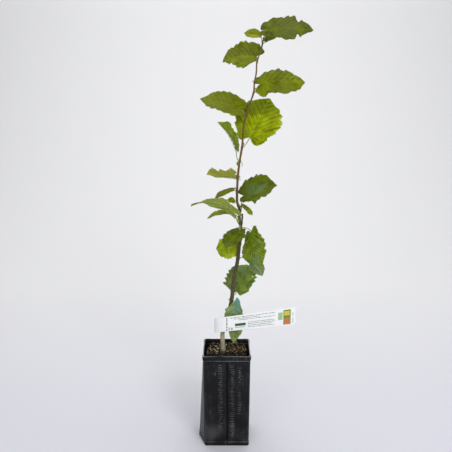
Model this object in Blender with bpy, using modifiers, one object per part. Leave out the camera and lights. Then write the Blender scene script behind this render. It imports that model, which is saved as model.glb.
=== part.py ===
"""A young hazel in a square forestry pot.

One thin, crooked stem leans out of the potting mix and carries about twenty broad leaves, each on its
own stalk. A plastic tag is looped round its foot. Lengths in the tables are millimetres and angles are
degrees; the meshes are in metres. The origin is the middle of the pot's flat underside, +Z is up and the
pot's front is -Y.
"""
import math
from collections import namedtuple

import bmesh
import bpy
import numpy as np
from mathutils import Vector, noise

MM = 0.001
GAP = 0.3                       # clearance between pieces that touch

# ---- driving dimensions ------------------------------------------------------------------------------------
POT_HEIGHT = 163.0
RIM_HALF = 40.0                 # half the square's width at the rim
FOOT_HALF = 38.0
CORNER_RADIUS = 4.0
WALL = 1.5
FLOOR = 2.0
RIM_BAND = 6.0                  # height of the thicker band at the rim
FOOT_BAND = 6.5
BAND_PROUD = 0.8
GROOVE_HALF = 1.6               # the pressed groove down the front and the back
GROOVE_DEPTH = 1.2
SEAM_BULGE = 10.9               # how far the parted seam in the left side stands out at the foot
SEAM_AT_RIM = 0.5
DRAIN_RADIUS = 4.0              # four round drain holes in the floor
DRAIN_SPACING = 22.0

MIX_TOP = 152.0                 # ground level: the top of the potting mix
MIX_LUMP = 3.0                  # how far the lumps rise and fall
MIX_LUMPS_PER_METRE = 70.0
MIX_BANK = 7.0                  # how much higher it lies against the back, and where the bank starts and ends
MIX_BANK_FOOT = 17.0
MIX_BANK_TOP = 36.0
MIX_CELLS = 14
MIX_LEVEL_RADIUS = 10.0         # no lumps this near the stem, and full lumps this much further out
MIX_LEVEL_FADE = 12.0

# The living stem: height, then sideways (+X) and backwards (+Y) offset. Its kinks are the leaf nodes.
STEM_ROUTE = [
    (152, -6, 6), (190, -7, 3), (218, 0, 1), (245, 8, 1), (287, 12, 0), (315, 18, 0), (342, 21, 0),
    (366, 24, 0), (381, 22, 0), (394, 21, 0), (402, 22, 0), (411, 19, 0), (422, 17, 0), (455, 18, 1),
    (483, 21, 1), (507, 25, 0), (522, 26, 0), (545, 28, 0), (560, 33, 1), (575, 37, 1), (593, 43, 0),
    (606, 44, 0), (625, 47, 0), (640, 48, 0), (662, 55, 1), (678, 58, 1),
]
STUB_ROUTE = [(368, 24, 0), (382, 25, 0), (397, 26, 0)]  # the old tip, cut off above the new leader
OLD_WOOD_TOP = 370.0
STEM_RADIUS = {"ground": 3.9, "old wood": 2.8, "leader": 2.2, "tip": 1.0, "stub": 1.4}
FLARE = 1.3                     # extra radius where the stem meets the ground
FLARE_HEIGHT = 14.0
STEM_STEPS = 3                  # points for each span of the stem's route

# A leaf: the height of its node on the stem, the reach from there to the blade's base, the blade's length
# and width, the heading (0 is +X, 90 is +Y) and rise of its midrib's chord, its roll about that chord, how
# far the midrib droops, how far each half folds up, and how far the blade twists from base to tip.
Leaf = namedtuple("Leaf", "name node reach length width heading rise roll droop fold twist")
LEAVES = [
    Leaf("leaf_01_hanging", 250, (4, -7, -4), 73, 36, -95, -90, 0, 0, 10, 0),
    Leaf("leaf_02_low_back", 253, (9, 17, 5), 55, 60, 60, 46, 0, 15, 10, 5),
    Leaf("leaf_03_right_low", 321, (16, -2, 2), 48, 38, 30, -50, -30, 25, 15, -20),
    Leaf("leaf_04_left_behind", 345, (-4, 10, -8), 36, 36, 190, 0, -70, 15, 5, 0),
    Leaf("leaf_05_left_front", 372, (-2, -9, -2), 50, 38, 240, -25, 0, 20, 5, -5),
    Leaf("leaf_06_right_veined", 373, (18, -9, -6), 66, 52, -70, -45, 70, 30, 5, -10),
    Leaf("leaf_07_left_under", 390, (-16, 22, 4), 44, 32, 160, -15, -20, 35, 10, 0),
    Leaf("leaf_08_left_arching", 381, (-10, -5, 18), 80, 66, 200, 11, 18, 70, 5, -5),
    Leaf("leaf_09_right_small", 409, (5, -4, 2), 24, 20, -20, -40, 0, -10, 20, 15),
    Leaf("leaf_10_left_bud", 415, (-6, -5, 2), 12, 14, 175, 20, -35, 20, 20, 0),
    Leaf("leaf_11_right_dark", 402, (6, 8, 24), 60, 60, -15, 18, 48, 30, 15, -10),
    Leaf("leaf_12_left_folded", 434, (-7, 4, 3), 34, 38, 170, -25, -5, 25, 0, -10),
    Leaf("leaf_13_left_pale", 455, (-5, 4, 5), 52, 48, 155, 0, 25, -10, 10, 0),
    Leaf("leaf_14_left_upright", 484, (-7, -5, 20), 52, 46, 185, 55, -15, 30, 20, -10),
    Leaf("leaf_15_right_round", 506, (13, 11, 16), 78, 77, 40, 55, 34, 10, 5, 5),
    Leaf("leaf_16_left_broad", 550, (-5, 13, 16), 73, 52, 170, 15, -46, 25, 10, 10),
    Leaf("leaf_17_right_broad", 593, (10, -4, 12), 76, 64, 10, 3, 44, 40, 0, -5),
    Leaf("leaf_18_left_high", 640, (-1, 16, 10), 64, 64, 150, -4, -48, 45, 5, 5),
    Leaf("leaf_19_top_small_left", 670, (-4, -4, 9), 26, 24, 170, 10, -45, 10, 15, 0),
    Leaf("leaf_20_top_small_right", 668, (6, 8, 5), 20, 18, 10, 25, 35, 15, 15, 0),
    Leaf("leaf_21_top_right", 674, (5, -2, 15), 74, 70, 0, -1, 40, 20, 0, 0),
]
EDGES = {                       # where a margin swells or is bitten in: side, place along it, gain, breadth
    "leaf_01_hanging": [(-1, 0.06, -0.25, 0.05), (-1, 0.17, 0.22, 0.06), (-1, 0.75, -0.38, 0.15),
                        (1, 0.80, -0.12, 0.10)],
    "leaf_02_low_back": [(1, 0.24, 0.22, 0.035), (1, 0.10, -0.45, 0.06), (1, 0.50, -0.08, 0.15),
                         (-1, 0.17, 0.15, 0.05)],
    "leaf_03_right_low": [(1, 0.35, -0.50, 0.15), (-1, 0.65, -0.30, 0.20)],
    "leaf_04_left_behind": [(1, 0.40, 0.05, 0.30), (1, 0.88, 0.50, 0.10), (-1, 0.86, 0.50, 0.12)],
    "leaf_05_left_front": [(-1, 0.65, -0.18, 0.15), (1, 0.42, 0.35, 0.08)],
    "leaf_06_right_veined": [(1, 0.67, -0.15, 0.04), (1, 0.30, -0.05, 0.15)],
    "leaf_07_left_under": [(1, 0.40, -0.60, 0.45), (-1, 0.35, -0.30, 0.30)],
    "leaf_08_left_arching": [(1, 0.22, -0.20, 0.15), (1, 0.78, -0.30, 0.12), (-1, 0.40, 0.28, 0.15)],
    "leaf_09_right_small": [(-1, 0.80, 0.60, 0.15), (1, 0.50, -0.10, 0.20), (1, 0.88, 0.50, 0.08)],
    "leaf_11_right_dark": [(-1, 0.02, -0.85, 0.035), (1, 0.40, -0.08, 0.10), (1, 0.86, -0.15, 0.04),
                           (-1, 0.70, 0.12, 0.04), (-1, 0.57, -0.10, 0.03), (-1, 0.42, 0.25, 0.05),
                           (-1, 0.10, -0.25, 0.06)],
    "leaf_12_left_folded": [(-1, 0.20, 0.20, 0.20), (-1, 0.85, 0.80, 0.16), (1, 0.85, 0.90, 0.18),
                            (1, 0.25, 0.30, 0.25)],
    "leaf_13_left_pale": [(1, 0.65, 0.08, 0.05), (1, 0.45, -0.28, 0.06), (1, 0.25, -0.25, 0.04),
                          (1, 0.12, 0.50, 0.05), (-1, 0.24, 0.45, 0.13)],
    "leaf_14_left_upright": [(-1, 0.40, -0.10, 0.25), (-1, 0.73, 0.22, 0.08), (1, 0.40, 0.25, 0.20)],
    "leaf_15_right_round": [(-1, 0.30, 0.10, 0.12), (-1, 0.10, 0.25, 0.06), (-1, 0.47, 0.06, 0.06),
                            (1, 0.28, 0.06, 0.10)],
    "leaf_16_left_broad": [(-1, 0.55, -0.12, 0.20), (-1, 0.12, 0.15, 0.08), (1, 0.50, -0.10, 0.10),
                           (1, 0.20, 0.20, 0.06)],
    "leaf_17_right_broad": [(1, 0.35, -0.08, 0.15), (1, 0.58, -0.22, 0.06), (1, 0.75, -0.12, 0.08),
                            (-1, 0.13, 0.55, 0.06), (-1, 0.46, 0.12, 0.05), (-1, 0.55, -0.10, 0.03)],
    "leaf_18_left_high": [(-1, 0.06, 0.20, 0.06), (-1, 0.19, 0.22, 0.09), (-1, 0.93, 1.15, 0.10),
                          (-1, 0.965, 1.40, 0.05),
                          (1, 0.10, -0.30, 0.06), (1, 0.25, 0.12, 0.08), (1, 0.52, -0.25, 0.12),
                          (1, 0.80, -0.55, 0.20)],
    "leaf_19_top_small_left": [(-1, 0.65, -0.15, 0.15), (1, 0.80, 0.20, 0.08)],
    "leaf_21_top_right": [(1, 0.02, -0.85, 0.035), (1, 0.10, 0.16, 0.05), (-1, 0.02, -0.85, 0.035),
                          (1, 0.47, 0.05, 0.06),
                          (1, 0.70, -0.30, 0.05), (-1, 0.28, -0.20, 0.08), (-1, 0.64, -0.45, 0.04),
                          (-1, 0.80, -0.30, 0.10)],
}
LOBES = {                       # how far the base's two lobes reach back, as shares of the usual
    "leaf_01_hanging": (0.1, 0.95),
    "leaf_18_left_high": (1.2, 0.6),
}
BLADE_THICKNESS = 1.0
LOBE = 0.19                     # the heart-shaped base: its depth and where it is deepest, as shares
LOBE_AT = 0.075
BROAD_AT = 0.92                 # under 1 sets the broadest place beyond the middle
FULLNESS = 0.72                 # the smaller it is, the rounder the blade
SHOULDER_AT = 0.76              # from here on the edge draws in to the pointed tip
SHOULDER_DROP = 0.5
CROWDING = 1.15                 # over 1 sets the columns of the grid closer together at the base
TEETH = 8                       # coarse teeth on each side
TOOTH = 0.05
ACROSS = 6                      # quads across the blade

STALK_RADIUS = 0.75
STALK_TIP = 0.6                 # its radius where it ends in the blade, as a share
STALK_SINK = 0.22               # share of the midrib that the stalk runs on along
STALK_FREE_POINTS = 6           # points before it reaches the blade, and along the blade
STALK_SUNK_POINTS = 3
STALK_CLIMB = 0.5               # how steeply it leaves the stem
STALK_PULL = 0.35               # how far its ends keep their direction, as a share of its span

TAG_WIDTH = 26.0                # where it loops round the stem
TAG_END_WIDTH = 31.0
TAG_THICKNESS = 0.8
TAG_END = 116.0                 # from the pot's middle to the tag's free end
TAG_RISE = 7.0
TAG_HEIGHT = 210.5              # height of the strip's middle, over the pot's middle
TAG_DIP = 0.33                  # the loop falls by this share of its depth towards the back
TAG_FRONT = -15.0               # where the front of its loop runs, and the back
TAG_BACK = 9.0
TAG_LEFT = -21.0
TAG_BEND = -2.0                 # where the strip starts to bend back round the stem
TAG_JOIN = 60.0                 # where the loop comes back to the front
TAG_SINK = 0.1                  # how far the loop's two ends lie back from the strip's middle
TAG_BEND_STEPS = 12
TAG_RETURN_STEPS = 8

COLOURS = {                     # base colour, roughness
    "pot": ((0.018, 0.019, 0.021), 0.45),
    "mix": ((0.07, 0.045, 0.028), 0.95),
    "bark": ((0.17, 0.11, 0.065), 0.8),
    "leaf": ((0.13, 0.22, 0.02), 0.5),
    "tag": ((0.85, 0.87, 0.88), 0.35),
}


# ---- general helpers ---------------------------------------------------------------------------------------
def clear_scene():
    for obj in list(bpy.data.objects):
        bpy.data.objects.remove(obj, do_unlink=True)


def new_collection(name):
    collection = bpy.data.collections.new(name)
    bpy.context.scene.collection.children.link(collection)
    return collection


def finish_material(name):
    colour, roughness = COLOURS[name]
    material = bpy.data.materials.new(name)
    material.use_nodes = True
    shader = material.node_tree.nodes["Principled BSDF"]
    shader.inputs["Base Color"].default_value = (*colour, 1.0)
    shader.inputs["Roughness"].default_value = roughness
    shader.inputs["Metallic"].default_value = 0.0
    return material


def object_from_bmesh(bm, name, collection, material=None):
    mesh = bpy.data.meshes.new(name)
    bm.to_mesh(mesh)
    bm.free()
    obj = bpy.data.objects.new(name, mesh)
    collection.objects.link(obj)
    if material:
        mesh.materials.append(material)
    return obj


def apply_modifiers(obj):
    """Replaces the object's mesh with what its modifiers make of it."""
    graph = bpy.context.evaluated_depsgraph_get()
    mesh = bpy.data.meshes.new_from_object(obj.evaluated_get(graph))
    obj.modifiers.clear()
    obj.data = mesh


def boolean(obj, operation, other=None, collection=None):
    """Cuts or joins obj with one object, or with all of a collection, and removes what it used."""
    modifier = obj.modifiers.new(operation.lower(), "BOOLEAN")
    modifier.operation = operation
    if collection:
        modifier.operand_type = "COLLECTION"
        modifier.collection = collection
    else:
        modifier.object = other
    apply_modifiers(obj)
    for used in (list(collection.objects) if collection else [other]):
        bpy.data.objects.remove(used, do_unlink=True)


def tube(name, points, radii, collection, sides=8):
    """A closed tube along points (millimetres), made from a curve object with a bevel and filled caps."""
    curve = bpy.data.curves.new(name, "CURVE")
    curve.dimensions = "3D"
    curve.bevel_depth = MM
    curve.bevel_resolution = (sides - 4) // 2
    curve.use_fill_caps = True
    spline = curve.splines.new("POLY")
    spline.points.add(len(points) - 1)
    for target, point, radius in zip(spline.points, points, radii):
        target.co = (*(Vector(point) * MM), 1.0)
        target.radius = radius
    guide = bpy.data.objects.new(name + "_guide", curve)
    collection.objects.link(guide)
    mesh = bpy.data.meshes.new_from_object(guide.evaluated_get(bpy.context.evaluated_depsgraph_get()))
    bm = bmesh.new()
    bm.from_mesh(mesh)
    bmesh.ops.remove_doubles(bm, verts=bm.verts, dist=0.00001)
    bpy.data.objects.remove(guide, do_unlink=True)
    bpy.data.meshes.remove(mesh)
    return object_from_bmesh(bm, name, collection)


def smooth_route(points, steps):
    """Points on a Catmull-Rom curve through the given points, steps to each span."""
    p = [Vector(q) for q in points]
    p = [2 * p[0] - p[1]] + p + [2 * p[-1] - p[-2]]
    route = []
    for a, b, c, d in zip(p, p[1:], p[2:], p[3:]):
        for i in range(steps):
            t = i / steps
            route.append(0.5 * (2 * b + (c - a) * t + (2 * a - 5 * b + 4 * c - d) * t ** 2
                                + (3 * b - a - 3 * c + d) * t ** 3))
    return route + [p[-2]]


def blend(a, b, t):
    return a + (b - a) * min(max(t, 0.0), 1.0)


# ---- the pot -----------------------------------------------------------------------------------------------
def seam_bulge(z):
    """How far the left seam stands out at height z: most at the foot, next to nothing at the rim."""
    return blend(SEAM_BULGE, SEAM_AT_RIM, z / POT_HEIGHT)


def pot_outline(z, proud=0.0):
    """The pot's plan at height z, anticlockwise from above, starting at the groove in the front."""
    half = blend(FOOT_HALF, RIM_HALF, z / POT_HEIGHT) + proud
    centre = half - CORNER_RADIUS

    def corner(sx, sy, start):
        turns = [math.radians(start + turn) for turn in (0, 30, 60, 90)]
        return [(sx * centre + CORNER_RADIUS * math.cos(turn), sy * centre + CORNER_RADIUS * math.sin(turn))
                for turn in turns]

    groove = [(-GROOVE_HALF, -half), (0.0, -half + GROOVE_DEPTH), (GROOVE_HALF, -half)]
    return (groove + corner(1, -1, -90) + [(half, 0.0)] + corner(1, 1, 0)
            + [(-x, -y) for x, y in groove] + corner(-1, 1, 90) + [(-half - seam_bulge(z), 0.0)]
            + corner(-1, -1, 180))


def inset(outline, distance):
    """The outline moved inwards by a distance, with mitred corners."""
    moved = []
    count = len(outline)
    for i in range(count):
        before, here, after = (Vector(outline[(i + k) % count]) for k in (-1, 0, 1))
        n1 = Vector((before.y - here.y, here.x - before.x)).normalized()
        n2 = Vector((here.y - after.y, after.x - here.x)).normalized()
        mitre = (n1 + n2) / (1.0 + n1.dot(n2))
        moved.append(tuple(here + mitre * distance))
    return moved


def loft(name, rings, collection):
    """A closed solid through rings of equal count; each is (height, outline)."""
    bm = bmesh.new()
    rows = [[bm.verts.new((x * MM, y * MM, z * MM)) for x, y in outline] for z, outline in rings]
    for low, high in zip(rows, rows[1:]):
        for i in range(len(low)):
            j = (i + 1) % len(low)
            bm.faces.new((low[i], low[j], high[j], high[i]))
    bm.faces.new(rows[0][::-1])
    bm.faces.new(rows[-1])
    return object_from_bmesh(bm, name, collection)


def make_pot(collection, cutters):
    band_foot = POT_HEIGHT - RIM_BAND
    profile = [(0, 0), (FOOT_BAND, 0), (FOOT_BAND + 1, -BAND_PROUD),
               (band_foot - 1, -BAND_PROUD), (band_foot, 0), (POT_HEIGHT, 0)]
    pot = loft("pot", [(z, pot_outline(z, proud)) for z, proud in profile], collection)
    pot.data.materials.append(finish_material("pot"))
    hollow = loft("hollow", [(z, inset(pot_outline(z, -BAND_PROUD), WALL))
                             for z in (FLOOR, POT_HEIGHT, POT_HEIGHT + 5)], cutters)
    boolean(pot, "DIFFERENCE", hollow)
    radius = DRAIN_RADIUS * MM
    for sx, sy in ((1, 1), (1, -1), (-1, 1), (-1, -1)):
        bm = bmesh.new()
        bmesh.ops.create_cone(bm, cap_ends=True, segments=16, radius1=radius, radius2=radius,
                              depth=4 * FLOOR * MM)
        drain = object_from_bmesh(bm, "drain", cutters)
        drain.location = (sx * DRAIN_SPACING * MM, sy * DRAIN_SPACING * MM, FLOOR / 2 * MM)
        bpy.context.view_layer.update()
        boolean(pot, "DIFFERENCE", drain)
    return pot


def make_mix(collection, cutters):
    """Potting mix: the pot's inside less a small gap, under a lumpy top, level round the stem's foot."""
    clearance = WALL + GAP
    mix = loft("potting_mix", [(z, inset(pot_outline(z, -BAND_PROUD), clearance))
                               for z in (FLOOR + GAP, POT_HEIGHT)], collection)
    mix.data.materials.append(finish_material("mix"))
    bm = bmesh.new()
    bmesh.ops.create_grid(bm, x_segments=MIX_CELLS, y_segments=MIX_CELLS, size=1.25 * RIM_HALF * MM)
    foot = Vector((STEM_ROUTE[0][1] * MM, STEM_ROUTE[0][2] * MM))
    for vert in bm.verts:
        away = (vert.co.xy - foot).length / MM
        lump = noise.noise(vert.co * MIX_LUMPS_PER_METRE) * MIX_LUMP
        lump *= blend(0.0, 1.0, (away - MIX_LEVEL_RADIUS) / MIX_LEVEL_FADE)
        bank = MIX_BANK * blend(0.0, 1.0, (vert.co.y / MM - MIX_BANK_FOOT) / (MIX_BANK_TOP - MIX_BANK_FOOT))
        vert.co.z = (MIX_TOP + lump + bank) * MM
    raised = bmesh.ops.extrude_face_region(bm, geom=bm.faces[:])["geom"]
    for part in raised:
        if isinstance(part, bmesh.types.BMVert):
            part.co.z = 1.1 * POT_HEIGHT * MM
    bmesh.ops.recalc_face_normals(bm, faces=bm.faces)
    air = object_from_bmesh(bm, "air", cutters)
    boolean(mix, "DIFFERENCE", air)
    return mix


# ---- the stem ----------------------------------------------------------------------------------------------
def stem_at(height):
    """The middle of the living stem at a height."""
    heights, xs, ys = zip(*STEM_ROUTE)
    return Vector((float(np.interp(height, heights, xs)), float(np.interp(height, heights, ys)), height))


def stem_radius(height):
    r = STEM_RADIUS
    flare = FLARE * blend(1.0, 0.0, (height - MIX_TOP) / FLARE_HEIGHT) ** 2
    if height < OLD_WOOD_TOP:
        return flare + blend(r["ground"], r["old wood"], (height - MIX_TOP) / (OLD_WOOD_TOP - MIX_TOP))
    return blend(r["leader"], r["tip"], (height - OLD_WOOD_TOP) / (STEM_ROUTE[-1][0] - OLD_WOOD_TOP))


def make_trunk(collection, twigs):
    route = smooth_route([(x, y, z) for z, x, y in STEM_ROUTE], STEM_STEPS)
    route[0].z = MIX_TOP + GAP
    trunk = tube("trunk", route, [stem_radius(p.z) for p in route], collection)
    trunk.data.materials.append(finish_material("bark"))
    cut = (MIX_TOP + GAP) * MM
    for vert in trunk.data.vertices:        # the tube's tilted end becomes a flat cut at ground level
        if vert.co.z < cut + STEM_RADIUS["ground"] / 2 * MM:
            vert.co.z = cut
    stub = smooth_route([(x, y, z) for z, x, y in STUB_ROUTE], 2)
    radii = [blend(STEM_RADIUS["leader"], STEM_RADIUS["stub"], i / 2) for i in range(len(stub))]
    tube("stub", stub, radii, twigs)
    boolean(trunk, "UNION", collection=twigs)
    return trunk


# ---- the leaves --------------------------------------------------------------------------------------------
def margin(leaf, t, side):
    """The blade's edge at t, from 0 in the notch to 1 at the tip, as shares of length and half width."""
    lobe = LOBE * LOBES.get(leaf.name, (1, 1))[side > 0]
    along = t - lobe * (t / LOBE_AT) * math.exp(1 - t / LOBE_AT)
    across = math.sin(math.pi * t ** BROAD_AT) ** FULLNESS if 0 < t < 1 else 0.0
    across *= 1 - SHOULDER_DROP * max(0.0, (t - SHOULDER_AT) / (1 - SHOULDER_AT)) ** 1.5
    for edge_side, at, gain, breadth in EDGES.get(leaf.name, []):
        if edge_side * side > 0:
            across *= 1 + gain * math.exp(-((t - at) / breadth) ** 2)
    return along, across


def blade_place(leaf, base):
    """A function from (along, across) on the flat blade, in millimetres, to its place in space."""
    heading, rise, roll, droop, fold, twist = (math.radians(a) for a in (
        leaf.heading, leaf.rise, leaf.roll, leaf.droop, leaf.fold, leaf.twist))
    d = Vector((math.cos(rise) * math.cos(heading), math.cos(rise) * math.sin(heading), math.sin(rise)))
    up = Vector((-math.sin(rise) * math.cos(heading), -math.sin(rise) * math.sin(heading), math.cos(rise)))
    side = up.cross(d)
    n = up * math.cos(roll) - side * math.sin(roll)
    b = n.cross(d)
    bow = droop if abs(droop) > 0.001 else 0.001

    def place(along, across):
        lean = bow / 2 - bow * along / leaf.length
        rib = base + leaf.length / bow * (d * (math.sin(bow / 2) - math.sin(lean))
                                          + n * (math.cos(lean) - math.cos(bow / 2)))
        normal = n * math.cos(lean) - d * math.sin(lean)
        turn = twist * along / leaf.length
        out = b * math.cos(turn) + normal * math.sin(turn)
        lift = normal * math.cos(turn) - b * math.sin(turn)
        return rib + out * across * math.cos(fold) + lift * abs(across) * math.sin(fold)

    return place, d * math.cos(bow / 2) + n * math.sin(bow / 2)


def make_blade(leaf, place, collection):
    """A toothed blade: a grid whose columns run from midrib to edge, bent into place and thickened."""
    bm = bmesh.new()
    bmesh.ops.create_grid(bm, x_segments=2 * TEETH, y_segments=ACROSS, size=1.0)
    for vert in bm.verts:
        station, v = (vert.co.x + 1) / 2, vert.co.y
        t = station ** CROWDING
        edge_along, edge_across = margin(leaf, t, v)
        point = -1 if round(station * 2 * TEETH) % 2 else 1
        tooth = 1 - point * TOOTH * (abs(v) > 0.99)
        along = leaf.length * (t + (edge_along - t) * abs(v))
        across = leaf.width / 2 * edge_across * v * tooth
        vert.co = place(along, across) * MM
    bmesh.ops.remove_doubles(bm, verts=bm.verts, dist=0.00002)
    blade = object_from_bmesh(bm, leaf.name, collection)
    thicken = blade.modifiers.new("thicken", "SOLIDIFY")
    thicken.thickness = BLADE_THICKNESS * MM
    thicken.offset = 0.0
    apply_modifiers(blade)
    return blade


def stalk_route(leaf, base, direction, place):
    """From just clear of the stem, out and up to the blade's base, and on along its midrib."""
    root = stem_at(leaf.node)
    outward = Vector((leaf.reach[0], leaf.reach[1], 0)).normalized()
    start = root + outward * (stem_radius(leaf.node) + GAP + 1.2 * STALK_RADIUS)
    span = (base - start).length
    leave = (outward + Vector((0, 0, STALK_CLIMB))).normalized()
    c1 = start + leave * span * STALK_PULL
    c2 = base - direction * span * STALK_PULL
    points = []
    for i in range(STALK_FREE_POINTS):
        t = i / STALK_FREE_POINTS
        s = 1 - t
        points.append(start * s ** 3 + c1 * 3 * t * s * s + c2 * 3 * t * t * s + base * t ** 3)
    sunk = leaf.length * STALK_SINK / STALK_SUNK_POINTS
    return points + [place(sunk * k, 0.0) for k in range(STALK_SUNK_POINTS + 1)]


def make_leaf(leaf, collection, twigs, material):
    base = stem_at(leaf.node) + Vector(leaf.reach)
    place, direction = blade_place(leaf, base)
    blade = make_blade(leaf, place, collection)
    blade.data.materials.clear()
    blade.data.materials.append(material)
    route = stalk_route(leaf, base, direction, place)
    radii = [STALK_RADIUS * blend(1.0, STALK_TIP, (i - STALK_FREE_POINTS) / STALK_SUNK_POINTS)
             for i in range(len(route))]
    tube("stalk", route, radii, twigs, sides=6)
    boolean(blade, "UNION", collection=twigs)
    return blade


# ---- the tag -----------------------------------------------------------------------------------------------
def ribbon(name, plan, collection):
    """A strip that stands on its plan route of (x, y) points; it climbs and widens towards +X."""
    slope = math.tan(math.radians(TAG_RISE))
    bm = bmesh.new()
    rows = []
    for x, y in plan:
        half = blend(TAG_WIDTH, TAG_END_WIDTH, x / TAG_END) / 2
        middle = TAG_HEIGHT + slope * x - TAG_DIP * (y - TAG_FRONT)
        rows.append([bm.verts.new(Vector((x, y, middle + side * half)) * MM) for side in (-1, 1)])
    for (a, b), (c, d) in zip(rows, rows[1:]):
        bm.faces.new((a, c, d, b))
    strip = object_from_bmesh(bm, name, collection)
    thicken = strip.modifiers.new("thicken", "SOLIDIFY")
    thicken.thickness = TAG_THICKNESS * MM
    thicken.offset = 0.0
    apply_modifiers(strip)
    return strip


def make_tag(collection, twigs):
    """A straight strip in front of the stem, with a loop from its left end that rejoins it on the right."""
    tag = ribbon("tag", [(x, TAG_FRONT) for x in (TAG_BEND, TAG_JOIN, TAG_END)], collection)
    tag.data.materials.append(finish_material("tag"))
    middle = (TAG_FRONT + TAG_BACK) / 2
    half = (TAG_BACK - TAG_FRONT) / 2
    plan = [(-TAG_BEND, TAG_FRONT + TAG_SINK)]
    for k in range(TAG_BEND_STEPS + 1):
        turn = math.pi * k / TAG_BEND_STEPS
        plan.append((TAG_BEND - (TAG_BEND - TAG_LEFT) * math.sin(turn), middle - half * math.cos(turn)))
    for k in range(1, TAG_RETURN_STEPS + 1):
        share = k / TAG_RETURN_STEPS
        plan.append((TAG_BEND + (TAG_JOIN - TAG_BEND) * share,
                     middle + (half - TAG_SINK) * math.cos(math.pi * share)))
    ribbon("loop", plan, twigs)
    boolean(tag, "UNION", collection=twigs)
    return tag


# ---- assembly ----------------------------------------------------------------------------------------------
def main():
    clear_scene()
    sapling = new_collection("potted_hazel")
    cutters = new_collection("cutters")
    twigs = new_collection("joined")
    make_pot(sapling, cutters)
    make_mix(sapling, cutters)
    make_trunk(sapling, twigs)
    leaf_material = finish_material("leaf")
    for leaf in LEAVES:
        make_leaf(leaf, sapling, twigs, leaf_material)
    make_tag(sapling, twigs)


main()
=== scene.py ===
"""A young hazel in a square black nursery pot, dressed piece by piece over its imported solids.

Lengths are metres and angles are degrees, +Z is up, and the pot's front looks along -Y.
"""
import math
import random
from collections import namedtuple

import bmesh
import bpy
import numpy as np
from mathutils import Euler, Matrix, Vector, noise


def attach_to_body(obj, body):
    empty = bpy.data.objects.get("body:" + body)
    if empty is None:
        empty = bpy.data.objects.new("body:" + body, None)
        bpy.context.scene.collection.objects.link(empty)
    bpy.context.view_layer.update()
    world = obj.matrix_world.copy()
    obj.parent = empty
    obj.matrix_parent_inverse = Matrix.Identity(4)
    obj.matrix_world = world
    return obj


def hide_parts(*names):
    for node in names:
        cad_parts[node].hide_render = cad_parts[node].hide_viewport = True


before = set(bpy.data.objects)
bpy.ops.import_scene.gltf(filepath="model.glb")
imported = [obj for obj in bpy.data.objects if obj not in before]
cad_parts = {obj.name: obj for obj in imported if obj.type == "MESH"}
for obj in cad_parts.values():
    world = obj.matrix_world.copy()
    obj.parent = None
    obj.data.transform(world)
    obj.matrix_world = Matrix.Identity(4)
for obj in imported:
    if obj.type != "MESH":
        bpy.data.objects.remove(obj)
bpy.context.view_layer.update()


# ---- The camera and the studio ----
# The plant stands on a pale sheet that sweeps up behind it, under large soft lamps. The camera looks at the
# pot's front, a little down, from just under a metre away.
CAMERA_PLACE = (-0.0012, -0.903, 0.535)
CAMERA_TILT = 80.04
CAMERA_LENS = 43.8
SWEEP_WIDTH = 9.0
SWEEP_FRONT = -3.0
SWEEP_BACK = 1.9
SWEEP_HEIGHT = 3.6
SWEEP_RADIUS = 1.1
PAPER_DEPTH = 0.9  # how far back the painted shade on the paper's front fades into its paler, painted-lit colour
SKY = (0.87, 0.88, 0.90, 1)
SKY_STRENGTH = 0.38
LAMPS = [  # name, place, what it is aimed at, width, watts
    ("key_lamp", (0.8, -1.7, 1.6), (0, 0, 0.35), 0.7, 20),
    ("fill_lamp", (-0.7, -1.9, 1.2), (0, 0, 0.2), 1.2, 9),
    ("top_lamp", (0.3, -0.1, 2.2), (0, 0, 0.2), 0.9, 7),
    ("sweep_lamp", (0, 0.9, 2.6), (0, 1.9, 1.1), 1.6, 30),
]


def paint(red, green, blue, gain=1.0, lift=0.0):
    """A screen colour, 0 to 255, as the linear one that a shader takes, brightened by gain and lift."""
    screen = np.array((red, green, blue)) / 255
    linear = np.where(screen < 0.04045, screen / 12.92, ((screen + 0.055) / 1.055) ** 2.4)
    return (*np.minimum(linear * gain + lift, 1.0).tolist(), 1.0)


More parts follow.
